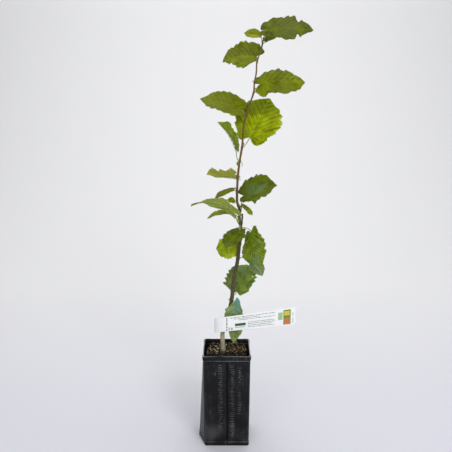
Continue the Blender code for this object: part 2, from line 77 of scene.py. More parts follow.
class Finish:
    """A material that is being put together; its patterns hang on the piece's own coordinates."""

    def __init__(self, name, roughness, specular):
        self.material = bpy.data.materials.new(name)
        self.material.use_nodes = True
        self.tree = self.material.node_tree
        self.shader = self.tree.nodes["Principled BSDF"].inputs
        self.shader["Roughness"].default_value = roughness
        self.shader["Specular IOR Level"].default_value = specular
        self.place = self.node("TexCoord")["Object"]

    def node(self, kind, **given):
        """Adds a node; numbered (_0) and capitalised names are inputs, and the others are settings."""
        node = self.tree.nodes.new("ShaderNode" + kind)
        for key, value in given.items():
            if key[0].islower():
                setattr(node, key, value)
                continue
            socket = node.inputs[int(key[1:]) if key[0] == "_" else key]
            if isinstance(value, bpy.types.NodeSocket):
                self.tree.links.new(value, socket)
            else:
                socket.default_value = value
        return node.outputs

    def math(self, operation, *values):
        inputs = {"_%d" % k: value for k, value in enumerate(values)}
        return self.node("Math", operation=operation, **inputs)[0]

    def times(self, product, *others):
        for other in others:
            product = self.math("MULTIPLY", product, other)
        return product

    def off(self, value, centre):
        return self.math("ABSOLUTE", self.math("SUBTRACT", value, centre))

    def away(self, place, spot):
        return self.node("VectorMath", operation="DISTANCE", _0=place, _1=spot)["Value"]

    def spread(self, value, low, high, to_low=0.0, to_high=1.0):
        """Maps the range low to high of a value smoothly to another range."""
        return self.node("MapRange", interpolation_type="SMOOTHSTEP", _0=value, _1=low, _2=high, _3=to_low,
                         _4=to_high)[0]

    def noise(self, scale, detail, place=None, **more):
        place = self.place if place is None else place
        return self.node("TexNoise", Vector=place, Scale=scale, Detail=detail, **more)[0]

    def stretched(self, scale):
        """The place squeezed along each axis, so that a pattern on it comes out stretched."""
        return self.node("Mapping", Vector=self.place, Scale=scale)[0]

    def coats(self, base, *layers):
        """Lays colours over a base one after another; each layer is (share, colour)."""
        for share, colour in layers:
            base = self.node("Mix", data_type="RGBA", _0=share, _6=base, _7=colour)[2]
        return base

    def done(self, colour, height=None, strength=0.0, distance=0.0):
        """Links the colour and, where a height is given, its bumps, and hands over the material."""
        self.tree.links.new(colour, self.shader["Base Color"])
        if height is not None:
            bump = self.node("Bump", Strength=strength, Distance=distance, Height=height)["Normal"]
            self.tree.links.new(bump, self.shader["Normal"])
        return self.material


def pick(obj):
    """Makes this the only selected object, and the active one."""
    bpy.ops.object.select_all(action="DESELECT")
    obj.select_set(True)
    bpy.context.view_layer.objects.active = obj


def select_vertices(obj, test=lambda co: True):
    """Opens the object in edit mode with just the vertices that pass the test selected."""
    pick(obj)
    bpy.ops.object.mode_set(mode="EDIT")
    bpy.ops.mesh.select_mode(type="VERT")
    mesh = bmesh.from_edit_mesh(obj.data)
    for part in (*mesh.faces, *mesh.edges, *mesh.verts):
        part.select_set(False)
    for vert in mesh.verts:
        vert.select_set(bool(test(vert.co)))
    mesh.select_flush(True)
    bmesh.update_edit_mesh(obj.data)


def back_to_object_mode():
    bpy.ops.object.mode_set(mode="OBJECT")


def apply_all(obj):
    """Applies the object's modifiers in their order."""
    pick(obj)
    for name in [m.name for m in obj.modifiers]:
        bpy.ops.object.modifier_apply(modifier=name)


bpy.ops.object.select_all(action="DESELECT")
bpy.ops.object.camera_add(location=CAMERA_PLACE, rotation=(math.radians(CAMERA_TILT), 0, 0))
camera = bpy.context.object
camera.name = "camera"
camera.data.lens = CAMERA_LENS
bpy.context.scene.camera = camera
bpy.context.scene.view_settings.view_transform = "Standard"

bpy.ops.mesh.primitive_plane_add(size=1, location=(0, (SWEEP_FRONT + SWEEP_BACK) / 2, 0))
sweep = bpy.context.object
sweep.name = "studio_sweep"
sweep.scale = (SWEEP_WIDTH, SWEEP_BACK - SWEEP_FRONT, 1)
bpy.ops.object.transform_apply(location=True, rotation=True, scale=True)
select_vertices(sweep, lambda co: co.y > 0)
bpy.ops.mesh.extrude_region_move(TRANSFORM_OT_translate={"value": (0, 0, SWEEP_HEIGHT)})
back_to_object_mode()
curve = sweep.modifiers.new("curve", "BEVEL")
curve.width = SWEEP_RADIUS
curve.segments = 24
curve.limit_method = "ANGLE"
apply_all(sweep)
bpy.ops.object.shade_smooth()
paper = Finish("studio_paper", 0.9, 0.1)
# The paper is painted darker in front, as painted shade, and paler towards the back, as painted light.
depth = paper.node("SeparateXYZ", Vector=paper.place)["Y"]
paler = paper.node("MapRange", _0=depth, _1=0.0, _2=PAPER_DEPTH)[0]
sweep.data.materials.append(paper.done(paper.coats(paint(213, 213, 221), (paler, paint(228, 228, 229)))))

studio = bpy.data.worlds.new("studio_light")
studio.use_nodes = True
studio.node_tree.nodes["Background"].inputs["Color"].default_value = SKY
studio.node_tree.nodes["Background"].inputs["Strength"].default_value = SKY_STRENGTH
bpy.context.scene.world = studio

for name, place, target, width, watts in LAMPS:
    aim = (Vector(target) - Vector(place)).to_track_quat("-Z", "Y").to_euler()
    bpy.ops.object.light_add(type="AREA", location=place, rotation=aim)
    lamp = bpy.context.object
    lamp.name = name
    lamp.data.size = width
    lamp.data.energy = watts


# ---- The pot's wall ----
# One moulding of black polypropylene, 80 mm square at the rim and open down its left side, where the seam has
# parted and stands out. A thick rim, a thin bead under it and a foot band stiffen the thin wall.
POT_HEIGHT = 0.163
RIM_HALF = 0.040
FOOT_HALF = 0.038
CORNER_RADIUS = 0.004
WALL = 0.0015
POT_FLOOR = 0.002
BAND_PROUD = 0.0008
FOOT_BAND = 0.0065
RIM_BAND = 0.006
BEAD_HEIGHT = 0.1541
BEAD = 0.0006
SEAM_AT_FOOT = 0.0109
SEAM_AT_RIM = 0.0005
GROOVE = [(-0.0012, 0), (-0.0006, 0.0002), (0.0004, 0.0016), (0.0016, 0.0016), (0.0026, 0.0002), (0.0032, 0)]
SEAM_NOTCH = [(0.0009, 0.0026), (0.0, 0.0010), (0.0014, 0.0), (0.0, -0.0010), (0.0009, -0.0026)]
FACE_STEPS = 5
CORNER_STEPS = 8
DRAIN_RADIUS = 0.004
DRAIN_SPACING = 0.022
MUD_TOP = 0.055
MUD_FULL = 0.010
LEDGES = (0.1545, 0.0068)  # heights of the two ledges painted lighter, as rubbed wear and painted highlight
LEDGE_REACH = 0.0006
GROOVE_MIDDLE = 0.001
BRUSHED_PLACE = (-0.022, -0.036, 0.024)  # a dull patch low on the front, where hands have brushed it
SMOOTH_BELOW = 35


def blend(a, b, t):
    return a + (b - a) * min(max(t, 0.0), 1.0)


def seam_bulge(z):
    """How far the left seam stands out at height z."""
    return blend(SEAM_AT_FOOT, SEAM_AT_RIM, z / POT_HEIGHT)


def half_width(z):
    return blend(FOOT_HALF, RIM_HALF, z / POT_HEIGHT)


def pot_plan(z, proud, groove):
    """The wall's plan at height z, anticlockwise from above; groove is 1 where the groove is pressed in."""
    half = half_width(z) + proud
    centre = half - CORNER_RADIUS

    def corner(sx, sy, start):
        turns = [math.radians(start + 90 * k / CORNER_STEPS) for k in range(CORNER_STEPS + 1)]
        return [(sx * centre + CORNER_RADIUS * math.cos(a), sy * centre + CORNER_RADIUS * math.sin(a))
                for a in turns]

    front = [(x, -half + groove * y) for x, y in GROOVE]
    back = [(-x, half - groove * y) for x, y in GROOVE]
    ridge = -half - seam_bulge(z)
    seam = [(ridge + groove * x, y) for x, y in SEAM_NOTCH]
    stretches = [front, corner(1, -1, -90), corner(1, 1, 0), back, corner(-1, 1, 90), seam,
                 corner(-1, -1, 180)]
    plan = []
    for here, after in zip(stretches, stretches[1:] + stretches[:1]):
        plan += here
        for k in range(1, FACE_STEPS):
            plan.append(tuple(blend(a, b, k / FACE_STEPS) for a, b in zip(here[-1], after[0])))
    return plan


def face_outwards(obj):
    select_vertices(obj)
    bpy.ops.mesh.normals_make_consistent(inside=False)
    back_to_object_mode()


def raise_wall(name, rings):
    """Extrudes a flat outline ring by ring; each ring is (height, plan), and the last one stays closed."""
    bpy.ops.object.select_all(action="DESELECT")
    bpy.ops.mesh.primitive_circle_add(vertices=len(rings[0][1]), fill_type="NGON")
    wall = bpy.context.object
    wall.name = name
    bpy.ops.object.mode_set(mode="EDIT")
    mesh = bmesh.from_edit_mesh(wall.data)
    mesh.verts.ensure_lookup_table()
    order = sorted(mesh.verts, key=lambda v: math.atan2(v.co.y, v.co.x))
    for vert, (x, y) in zip(order, rings[0][1]):
        vert.co = (x, y, rings[0][0])
    for (low, before), (high, plan) in zip(rings, rings[1:]):
        bpy.ops.mesh.extrude_region_move(TRANSFORM_OT_translate={"value": (0, 0, 0)})
        mesh = bmesh.from_edit_mesh(wall.data)
        places = {(round(x, 6), round(y, 6)): k for k, (x, y) in enumerate(before)}
        for vert in mesh.verts:
            if vert.select:
                x, y = plan[places[(round(vert.co.x, 6), round(vert.co.y, 6))]]
                vert.co = (x, y, high)
    bmesh.update_edit_mesh(wall.data)
    back_to_object_mode()
    face_outwards(wall)
    return wall


def shade(obj, sharp=None):
    """Shades the piece smooth, but not over edges that turn by more than the angle sharp, if it is given."""
    pick(obj)
    if sharp:
        bpy.ops.object.shade_smooth_by_angle(angle=math.radians(sharp))
    else:
        bpy.ops.object.shade_smooth()


def attach(piece, material=None):
    """Gives a finished piece its material, where one is given, and lets it ride with the plant's one body."""
    if material:
        piece.data.materials.clear()
        piece.data.materials.append(material)
    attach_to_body(piece, "root")


def black_plastic(name, black, grey):
    """Carbon-black plastic, scuffed grey in streaks, with dried mud low down; its ledges and rim top are
    rubbed and painted lighter as highlight, its groove is painted dark as shade, and its side rims' tops
    carry a painted reflection.
    """
    m = Finish(name, 0.42, 0.20)
    sideways, _, height = m.node("SeparateXYZ", Vector=m.place)
    streaks = m.noise(1.0, 6.0, m.stretched((300, 300, 60)), Roughness=0.7)
    patches = m.noise(42.0, 4.0)
    scuffs = m.times(m.spread(streaks, 0.48, 0.72), m.spread(patches, 0.36, 0.64))
    mud = m.times(m.spread(height, MUD_TOP, MUD_FULL), m.spread(patches, 0.40, 0.68),
                  m.spread(m.noise(420.0, 3.0), 0.40, 0.75))
    # The rim top and the two ledges are painted lighter: partly rubbed wear, partly painted highlight where
    # light catches their edges.
    rubbed_and_highlit = m.spread(height, POT_HEIGHT - 0.0012, POT_HEIGHT - 0.0004)
    for ledge in LEDGES:
        near = m.spread(m.off(height, ledge), LEDGE_REACH, LEDGE_REACH / 3)
        rubbed_and_highlit = m.math("MAXIMUM", rubbed_and_highlit, near)
    rubbed_and_highlit = m.times(rubbed_and_highlit, m.spread(patches, 0.36, 0.60, 0.15, 1.0))
    brushed = m.times(m.spread(m.away(m.place, BRUSHED_PLACE), 0.022, 0.004),
                      m.spread(patches, 0.30, 0.60, 0.2, 0.7))
    # Painted shade: the pressed groove below the bead is painted near black, as the shade in the recess.
    groove = m.times(m.spread(m.off(sideways, GROOVE_MIDDLE), 0.0021, 0.0012),
                     m.spread(height, BEAD_HEIGHT, BEAD_HEIGHT - 0.002))
    # Painted reflection: the tops of the left and right rims are painted pale grey.
    side_rim_reflection = m.times(m.spread(m.math("ABSOLUTE", sideways), 0.0365, 0.0380),
                       m.spread(height, POT_HEIGHT - 0.0006, POT_HEIGHT - 0.0002, 0.0, 0.7))
    colour = m.coats(
        paint(*black),
        (m.spread(patches, 0.3, 0.7), paint(*black, gain=2.4)),
        (m.times(scuffs, 0.5), paint(*grey)),
        (brushed, paint(66, 66, 68)),
        (m.times(mud, 0.7), paint(88, 87, 86)),
        (rubbed_and_highlit, paint(100, 100, 103)),
        (m.times(groove, 0.85), paint(4, 4, 5)),
        (side_rim_reflection, paint(176, 178, 182)))
    m.tree.links.new(m.spread(streaks, 0.3, 0.8, 0.30, 0.55), m.shader["Roughness"])
    return m.done(colour, m.noise(500.0, 3.0), 0.35, 0.0003)


band_foot = POT_HEIGHT - RIM_BAND
recess = -BAND_PROUD
levels = [(0.0, -0.0006, 0), (0.0005, 0, 0), (FOOT_BAND - 0.0004, 0, 0), (FOOT_BAND, -0.0003, 0),
          (FOOT_BAND + 0.0002, recess, 0), (FOOT_BAND + 0.0018, recess, 0), (FOOT_BAND + 0.0030, recess, 1)]
levels += [(blend(FOOT_BAND + 0.003, BEAD_HEIGHT - 0.0035, k / 9), recess, 1) for k in range(1, 10)]
bead_steps = [(-0.0024, recess), (-BEAD, recess), (-BEAD / 2, 0), (BEAD, recess / 2), (1.6 * BEAD, recess)]
band_steps = [(-0.0002, recess), (0, -0.0003), (0.0004, 0)]
rim_steps = [(-0.0016, 0), (-0.0008, -0.0002), (-0.0003, -0.0005), (0, -0.0010), (0, 0.0003 - WALL),
             (-0.0005, -WALL), (-RIM_BAND, recess - WALL)]
for height, steps in ((BEAD_HEIGHT, bead_steps), (band_foot, band_steps), (POT_HEIGHT, rim_steps)):
    levels += [(height + rise, proud, 0) for rise, proud in steps]
levels += [(0.1, recess - WALL, 0), (POT_FLOOR, recess - WALL, 0)]
pot_wall = raise_wall("pot_wall", [(z, pot_plan(z, proud, groove)) for z, proud, groove in levels])
for sx in (-1, 1):
    for sy in (-1, 1):
        bpy.ops.mesh.primitive_cylinder_add(vertices=32, radius=DRAIN_RADIUS, depth=4 * POT_FLOOR,
                                            location=(sx * DRAIN_SPACING, sy * DRAIN_SPACING, 0))
        drain = bpy.context.object
        hole = pot_wall.modifiers.new("drain", "BOOLEAN")
        hole.operation = "DIFFERENCE"
        hole.object = drain
        apply_all(pot_wall)
        bpy.data.objects.remove(drain, do_unlink=True)
shade(pot_wall, SMOOTH_BELOW)
pot_plastic = black_plastic("black_pot_plastic", (10, 11, 12), (88, 88, 91))
attach(pot_wall, pot_plastic)
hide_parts("pot")


# ---- The pot's panels ----
# The same moulding stands proud in two tall plates on each side, with rounded corners, and they leave the
# pressed groove between them. Rows of plain raised bars give wet hands a grip on them.
PANEL_TOP = 0.1517
PANEL_FOOT = 0.0096
PANEL_INSET = 0.0009
PANEL_ROUND = 0.0025
PANEL_PROUD = 0.0007
PANEL_THICK = 0.0012
PANEL_COLUMNS = 10
PANEL_ROWS = 44
BAR_HEIGHT = 0.0013
BAR_PROUD = 0.0005
BAR_PITCH = 0.0034
BAR_COLUMNS = [  # wall, share across it, width, top, foot
    ("front_left", 0.71, 0.0085, 0.147, 0.018),
    ("front_right", 0.20, 0.0080, 0.147, 0.014),
    ("front_right", 0.60, 0.0065, 0.142, 0.112),
    ("front_right", 0.60, 0.0065, 0.098, 0.056),
    ("front_left", 0.44, 0.0045, 0.133, 0.124),
]


def wall_ends(wall, z):
    """The two plan ends of one flat stretch of wall at height z, as seen from outside, left to right."""
    half = half_width(z) - BAND_PROUD
    centre = half - CORNER_RADIUS
    groove_left, groove_right = GROOVE[0][0], GROOVE[-1][0]
    ridge = half + seam_bulge(z)
    return {
        "front_left": ((-centre, -half), (groove_left, -half)),
        "front_right": ((groove_right, -half), (centre, -half)),
        "right_near": ((half, -centre), (half, groove_left)),
        "right_far": ((half, groove_right), (half, centre)),
        "back_left": ((centre, half), (-groove_left, half)),
        "back_right": ((-groove_right, half), (-centre, half)),
        "left_far": ((-half, centre), (-ridge, SEAM_NOTCH[0][1])),
        "left_near": ((-ridge, SEAM_NOTCH[-1][1]), (-half, -centre)),
    }[wall]


def on_wall(wall, across, z, proud):
    """A point on a wall: across is metres from its left end, seen from outside, and proud is outwards."""
    a, b = (Vector(end) for end in wall_ends(wall, z))
    along = (b - a).normalized()
    out = Vector((along.y, -along.x))
    spot = a + along * across + out * proud
    return Vector((spot.x, spot.y, z))


def wall_width(wall, z):
    a, b = wall_ends(wall, z)
    return math.dist(a, b)


def new_grid(columns, rows):
    """A flat grid that runs from -1 to 1 both ways."""
    bpy.ops.object.select_all(action="DESELECT")
    bpy.ops.mesh.primitive_grid_add(x_subdivisions=columns, y_subdivisions=rows, size=2)
    return bpy.context.object


def thicken(sheet, thickness, offset, rounding=0.0, angle=50):
    """Makes a solid of a sheet and, where asked, rounds its edges."""
    thick = sheet.modifiers.new("thick", "SOLIDIFY")
    thick.thickness = thickness
    thick.offset = offset
    if rounding:
        soft = sheet.modifiers.new("soft", "BEVEL")
        soft.width = rounding
        soft.segments = 2
        soft.limit_method = "ANGLE"
        soft.angle_limit = math.radians(angle)
    apply_all(sheet)


def joined(name, pieces):
    """One piece of many, under a new name."""
    bpy.ops.object.select_all(action="DESELECT")
    for piece in pieces:
        piece.select_set(True)
    bpy.context.view_layer.objects.active = pieces[0]
    if len(pieces) > 1:
        bpy.ops.object.join()
    whole = bpy.context.object
    whole.name = name
    return whole


def moved_copy(shape, rule):
    """A copy of a shape with each of its points put where the rule says."""
    copy = shape.copy()
    copy.data = shape.data.copy()
    bpy.context.collection.objects.link(copy)
    for vert in copy.data.vertices:
        vert.co = rule(vert.co)
    return copy


panels = []
for wall in ("front_left", "front_right", "right_near", "right_far", "back_left", "back_right",
             "left_far", "left_near"):
    panel = new_grid(PANEL_COLUMNS, PANEL_ROWS)
    tall = (PANEL_TOP - PANEL_FOOT) / 2
    for vert in panel.data.vertices:
        share = vert.co.y * (1.5 - 0.5 * vert.co.y ** 2)  # rows crowd towards the rounded ends
        z = PANEL_FOOT + tall * (1 + share)
        past = max(0.0, abs(share) * tall - (tall - PANEL_ROUND))
        narrow = PANEL_ROUND - math.sqrt(max(PANEL_ROUND ** 2 - past ** 2, 0.0))
        wide = wall_width(wall, z) / 2
        across = wide + vert.co.x * (wide - PANEL_INSET - narrow)
        vert.co = on_wall(wall, across, z, PANEL_PROUD)
    thicken(panel, PANEL_THICK, -1.0, 0.0003)
    panels.append(panel)
pot_panels = joined("pot_panels", panels)
shade(pot_panels, SMOOTH_BELOW)
attach(pot_panels, pot_plastic)

bpy.ops.object.select_all(action="DESELECT")
bpy.ops.mesh.primitive_cube_add(size=1)
bar = bpy.context.object
soft = bar.modifiers.new("soft", "BEVEL")
soft.width = 0.2
soft.segments = 2
apply_all(bar)
bars = []
wear = random.Random(3)
for wall, share, width, top, foot in BAR_COLUMNS:
    for k in range(int((top - foot) / BAR_PITCH)):
        z = top - (k + wear.uniform(-0.2, 0.2)) * BAR_PITCH
        long = width * wear.uniform(0.4, 1.0)
        middle = wall_width(wall, z) * share + wear.uniform(-0.5, 0.5) * (width - long)
        bars.append(moved_copy(bar, lambda co: on_wall(
            wall, middle + co.x * long, z + co.z * BAR_HEIGHT, PANEL_PROUD + BAR_PROUD * 2 * co.y)))
bpy.data.objects.remove(bar, do_unlink=True)
grip_bars = joined("grip_bars", bars)
shade(grip_bars, 40)
# The bars are painted a lighter grey than the pot: partly rubbed wear, partly painted highlight on their
# raised faces.
attach(grip_bars, black_plastic("rubbed_and_highlit_bar_plastic", (56, 56, 58), (136, 136, 138)))


# ---- The rim's corner blocks ----
# The rim is doubled where it turns each corner, so that a full pot can be lifted by it. The front right
# block reaches furthest along the wall.
BLOCK_TOP = 0.1626
BLOCK_FOOT = 0.1558
BLOCK_PROUD = 0.0009
BLOCK_REACH = {(-1, -1): 0.005, (1, -1): 0.012, (1, 1): 0.006, (-1, 1): 0.006}
BLOCK_STEPS = 24
BLOCK_ARM = 0.35  # the share of its length before the corner, and after it
BLOCK_TURN = 0.30  # and the share that turns it
BLOCK_SIDE = 0.005  # how far it reaches along the side wall

blocks = []
for (sx, sy), reach in BLOCK_REACH.items():
    block = new_grid(BLOCK_STEPS, 3)
    for vert in block.data.vertices:
        share = (vert.co.x + 1) / 2
        z = blend(BLOCK_FOOT, BLOCK_TOP, (vert.co.y + 1) / 2)
        centre = half_width(z) - CORNER_RADIUS
        turn = min(max((share - BLOCK_ARM) / BLOCK_TURN, 0.0), 1.0) * math.pi / 2
        near = max(BLOCK_ARM - share, 0.0) / BLOCK_ARM * reach
        far = max(share - (1 - BLOCK_ARM), 0.0) / BLOCK_ARM * BLOCK_SIDE
        x = centre + CORNER_RADIUS * math.sin(turn) - near
        y = centre + CORNER_RADIUS * math.cos(turn) - far
        vert.co = (sx * x, sy * y, z)
    if sx * sy > 0:
        select_vertices(block)
        bpy.ops.mesh.flip_normals()
        back_to_object_mode()
    thicken(block, BLOCK_PROUD * 2, 0.0, 0.0004)
    face_outwards(block)
    blocks.append(block)
corner_blocks = joined("corner_blocks", blocks)
shade(corner_blocks, SMOOTH_BELOW)
attach(corner_blocks, pot_plastic)


# ---- The potting mix ----
# Composted bark and coarse peat, pressed into the pot to a thumb's width under its rim. The block below is
# the fine stuff between the chips, dark because it is wet.
MIX_TOP = 0.1500
MIX_BANK = 0.0075
MIX_LUMP = 0.0030
MIX_CLEARANCE = 0.0026
MIX_CELLS = 90
MIX_ROUNDING = 0.035  # how much its corners are drawn in
MIX_TAPER = 0.955  # how much narrower it is on the pot's floor
MIX_DEPTH = 0.1
FLOOR_GAP = 0.0003
STEM_FOOT = Vector((-0.006, 0.006, 0.152))


def mix_height(x, y):
    """The lie of the mix's top: lumpy, higher at the back left, and level round the stem."""
    away = math.dist((x, y), STEM_FOOT.xy)
    lump = noise.noise((x * 70, y * 70, 0.3)) + 0.5 * noise.noise((x * 190, y * 190, 4.1))
    bank = MIX_BANK * blend(0.0, 1.0, (y - 0.015) / 0.019) * blend(1.0, 0.1, (abs(x + 0.004) - 0.021) / 0.010)
    return MIX_TOP + bank + MIX_LUMP * lump * blend(0.15, 1.0, (away - 0.006) / 0.012)


def mix_ground():
    """Wet black-brown crumbs."""
    m = Finish("wet_peat", 0.8, 0.15)
    crumbs = m.node("TexVoronoi", Vector=m.place, Scale=900.0)["Distance"]
    clods = m.noise(260.0, 5.0)
    colour = m.coats(paint(14, 12, 12), (m.spread(clods, 0.35, 0.7), paint(36, 27, 20)))
    return m.done(colour, crumbs, 0.8, 0.0006)


mix = new_grid(MIX_CELLS, MIX_CELLS)
mix.name = "mix_bed"
half = half_width(MIX_TOP) - BAND_PROUD - WALL - MIX_CLEARANCE
for vert in mix.data.vertices:
    u, v = vert.co.xy
    squeeze = 1 - MIX_ROUNDING * (u * v) ** 4
    left = seam_bulge(MIX_TOP) * (1 - abs(v)) * max(-u, 0.0)
    x, y = u * half * squeeze - left, v * half * squeeze
    vert.co = (x, y, mix_height(x, y))
select_vertices(mix)
bpy.ops.mesh.extrude_region_move(TRANSFORM_OT_translate={"value": (0, 0, -MIX_DEPTH)})
back_to_object_mode()
for vert in mix.data.vertices:
    if vert.co.z < MIX_TOP - MIX_DEPTH / 2:
        vert.co.z = POT_FLOOR + FLOOR_GAP
        vert.co.x, vert.co.y = vert.co.x * MIX_TAPER, vert.co.y * MIX_TAPER
face_outwards(mix)
shade(mix, 50)
attach(mix, mix_ground())
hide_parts("potting_mix")


# ---- The chips on the mix ----
# Flakes of pine bark, splinters and crumbs lie at all angles on the bed. The washed cream ones have drifted
# to the back left and the orange-brown ones lie to the right; few pale ones are put in front, as painted
# shade.
CHIP_KINDS = [  # name, screen colour, how many, length, and where they gather (x, y, reach)
    ("chips_cream", (226, 220, 198), 72, 0.0036, (-0.020, 0.014, 0.015)),
    ("chips_olive", (140, 136, 98), 150, 0.0036, (-0.006, 0.018, 0.030)),
    ("chips_orange", (140, 96, 58), 62, 0.0042, (0.012, 0.004, 0.028)),
    ("chips_tan", (172, 148, 108), 96, 0.0040, (0.006, 0.004, 0.034)),
    ("chips_umber", (60, 44, 34), 420, 0.0046, (0.0, 0.0, 0.045)),
    ("chips_black", (18, 18, 20), 260, 0.0050, (0.0, 0.0, 0.045)),
]
SHADED_FRONT = 0.008  # forward of here few pale chips lie, so the mix there is darker as painted shade
DARKEST_SHADE_FRONT = -0.003  # and forward of here hardly any, as deeper painted shade
PALE = 200  # a colour whose three values add up to more is a pale one
CHIP_MARGIN = 0.0035  # how far chips keep from the pot's wall
CHIP_GAP = 0.006  # and from the middle of the stem
CHIP_HEAP = 0.0024  # how high above the bed they pile up
CHIP_TILT = 0.7


def mottled(name, roughness, specular, scale, detail, first, second, low=0.3, high=0.7, most=1.0):
    """A finish of two colours in small clouds: the finish, its clouds and its colour."""
    m = Finish(name, roughness, specular)
    clouds = m.noise(scale, detail)
    return m, clouds, m.coats(first, (m.spread(clouds, low, high, 0.0, most), second))


def chip_finish(name, colour):
    """One colour of chip, mottled and darkened where it is wet."""
    m, clouds, shades = mottled(name, 0.75, 0.2, 600.0, 4.0, paint(*colour, gain=0.45), paint(*colour))
    return m.done(shades, clouds, 0.5, 0.0003)


def joined_copies(name, shape, copies):
    """One mesh of many copies of a small shape; each copy is a matrix."""
    points = np.array([v.co for v in shape.data.vertices])
    faces = np.array([p.vertices[:] for p in shape.data.polygons])
    places = np.array([[list(row) for row in m] for m in copies])
    moved = np.einsum("kij,nj->kni", places[:, :3, :3], points) + places[:, None, :3, 3]
    mesh = bpy.data.meshes.new(name)
    starts = len(points) * np.arange(len(copies))[:, None, None]
    numbered = (faces[None] + starts).reshape(-1, faces.shape[1])
    mesh.from_pydata(moved.reshape(-1, 3).tolist(), [], numbered.tolist())
    mesh.update()
    piece = bpy.data.objects.new(name, mesh)
    bpy.context.collection.objects.link(piece)
    return piece


bpy.ops.object.select_all(action="DESELECT")
bpy.ops.mesh.primitive_ico_sphere_add(subdivisions=1, radius=0.5)
chip = bpy.context.object
deal = random.Random(7)
limit = half_width(MIX_TOP) - BAND_PROUD - WALL - CHIP_MARGIN
for name, colour, count, length, (near_x, near_y, reach) in CHIP_KINDS:
    copies = []
    while len(copies) < count:
        x, y = deal.gauss(near_x, reach), deal.gauss(near_y, reach)
        if abs(x) > limit or abs(y) > limit or math.dist((x, y), STEM_FOOT.xy) < CHIP_GAP:
            continue
        # Pale chips are left out towards the front, so that the mix there comes out dark as painted shade.
        left_out_for_shade = 0.95 if y < DARKEST_SHADE_FRONT else 0.6 if y < SHADED_FRONT else 0.0
        if sum(colour) > PALE and deal.random() < left_out_for_shade:
            continue
        long = length * deal.uniform(0.45, 1.5)
        turn = Euler((deal.gauss(0, CHIP_TILT), deal.gauss(0, CHIP_TILT), deal.uniform(0, math.tau)))
        size = Matrix.Diagonal((long, long * deal.uniform(0.3, 0.7), long * deal.uniform(0.12, 0.4), 1))
        high = mix_height(x, y) + deal.uniform(0.0, CHIP_HEAP)
        copies.append(Matrix.Translation((x, y, high)) @ turn.to_matrix().to_4x4() @ size)
    attach(joined_copies(name, chip, copies), chip_finish(name, colour))
bpy.data.objects.remove(chip, do_unlink=True)


# ---- The stem ----
# A whip of green wood on a short length of last year's, bent at each node. Its bark is thin, smooth and
# brown, ringed and pimpled with lenticels, and bleached to a pale tan above the mix.
STEM_ROUTE = [  # height, then sideways and backwards offset
    (0.1495, -0.006, 0.006), (0.190, -0.007, 0.003), (0.218, 0, 0.001), (0.245, 0.008, 0.001),
    (0.287, 0.012, 0), (0.315, 0.018, 0), (0.342, 0.021, 0), (0.366, 0.024, 0), (0.381, 0.022, 0),
    (0.394, 0.021, 0), (0.402, 0.022, 0), (0.411, 0.019, 0), (0.422, 0.017, 0), (0.455, 0.018, 0.001),
    (0.483, 0.021, 0.001), (0.507, 0.025, 0), (0.522, 0.026, 0), (0.545, 0.028, 0), (0.560, 0.033, 0.001),
    (0.575, 0.037, 0.001), (0.593, 0.043, 0), (0.606, 0.044, 0), (0.625, 0.047, 0), (0.640, 0.048, 0),
    (0.662, 0.055, 0.001), (0.678, 0.058, 0.001),
]
STUB_ROUTE = [(0.368, 0.024, 0), (0.382, 0.025, 0), (0.397, 0.026, 0)]
NODE_HEIGHTS = (0.25, 0.287, 0.321, 0.345, 0.372, 0.381, 0.39, 0.402, 0.411, 0.434, 0.455, 0.484, 0.506, 0.55,
                0.593, 0.64, 0.668)
OLD_WOOD_TOP = 0.370
GROUND_RADIUS = 0.0039
OLD_WOOD_RADIUS = 0.0028
LEADER_RADIUS = 0.0022
TIP_RADIUS = 0.0010
STUB_RADIUS = 0.0014
FLARE = 0.0013
FLARE_HEIGHT = 0.014
NODE_SWELL = 0.0005
NODE_REACH = 0.0022
BARK_RIDGE = 0.00022
BARK_RING = 0.00012
STEM_SIDES = 24
GROUND = 0.152  # the height that the foot's flare and taper are counted from
BARK_REACH = 0.006  # only what is nearer than this to the stem's middle has relief


def smooth_route(points, steps):
    """Points on a Catmull-Rom curve through the given points, steps to each span."""
    p = [Vector(q) for q in points]
    p = [2 * p[0] - p[1]] + p + [2 * p[-1] - p[-2]]
    route = []
    for a, b, c, d in zip(p, p[1:], p[2:], p[3:]):
        for i in range(steps):
            t = i / steps
            route.append(0.5 * (2 * b + (c - a) * t + (2 * a - 5 * b + 4 * c - d) * t ** 2
                                + (3 * b - a - 3 * c + d) * t ** 3))
    return route + [p[-2]]


def stem_radius(height):
    flare = FLARE * blend(1.0, 0.0, (height - GROUND) / FLARE_HEIGHT) ** 2
    if height < OLD_WOOD_TOP:
        return flare + blend(GROUND_RADIUS, OLD_WOOD_RADIUS, (height - GROUND) / (OLD_WOOD_TOP - GROUND))
    return blend(LEADER_RADIUS, TIP_RADIUS, (height - OLD_WOOD_TOP) / (STEM_ROUTE[-1][0] - OLD_WOOD_TOP))


def tube(name, runs, sides):
    """One mesh of round tubes with closed ends; each run is (points, radii)."""
    curve = bpy.data.curves.new(name, "CURVE")
    curve.dimensions = "3D"
    curve.bevel_depth = 1.0
    curve.bevel_resolution = (sides - 4) // 2
    curve.use_fill_caps = True
    for points, radii in runs:
        spline = curve.splines.new("POLY")
        spline.points.add(len(points) - 1)
        for target, point, radius in zip(spline.points, points, radii):
            target.co = (*point, 1.0)
            target.radius = radius
    guide = bpy.data.objects.new(name, curve)
    bpy.context.collection.objects.link(guide)
    pick(guide)
    bpy.ops.object.convert(target="MESH")
    piece = bpy.context.object
    select_vertices(piece)
    bpy.ops.mesh.remove_doubles(threshold=0.000002)
    back_to_object_mode()
    face_outwards(piece)
    return piece


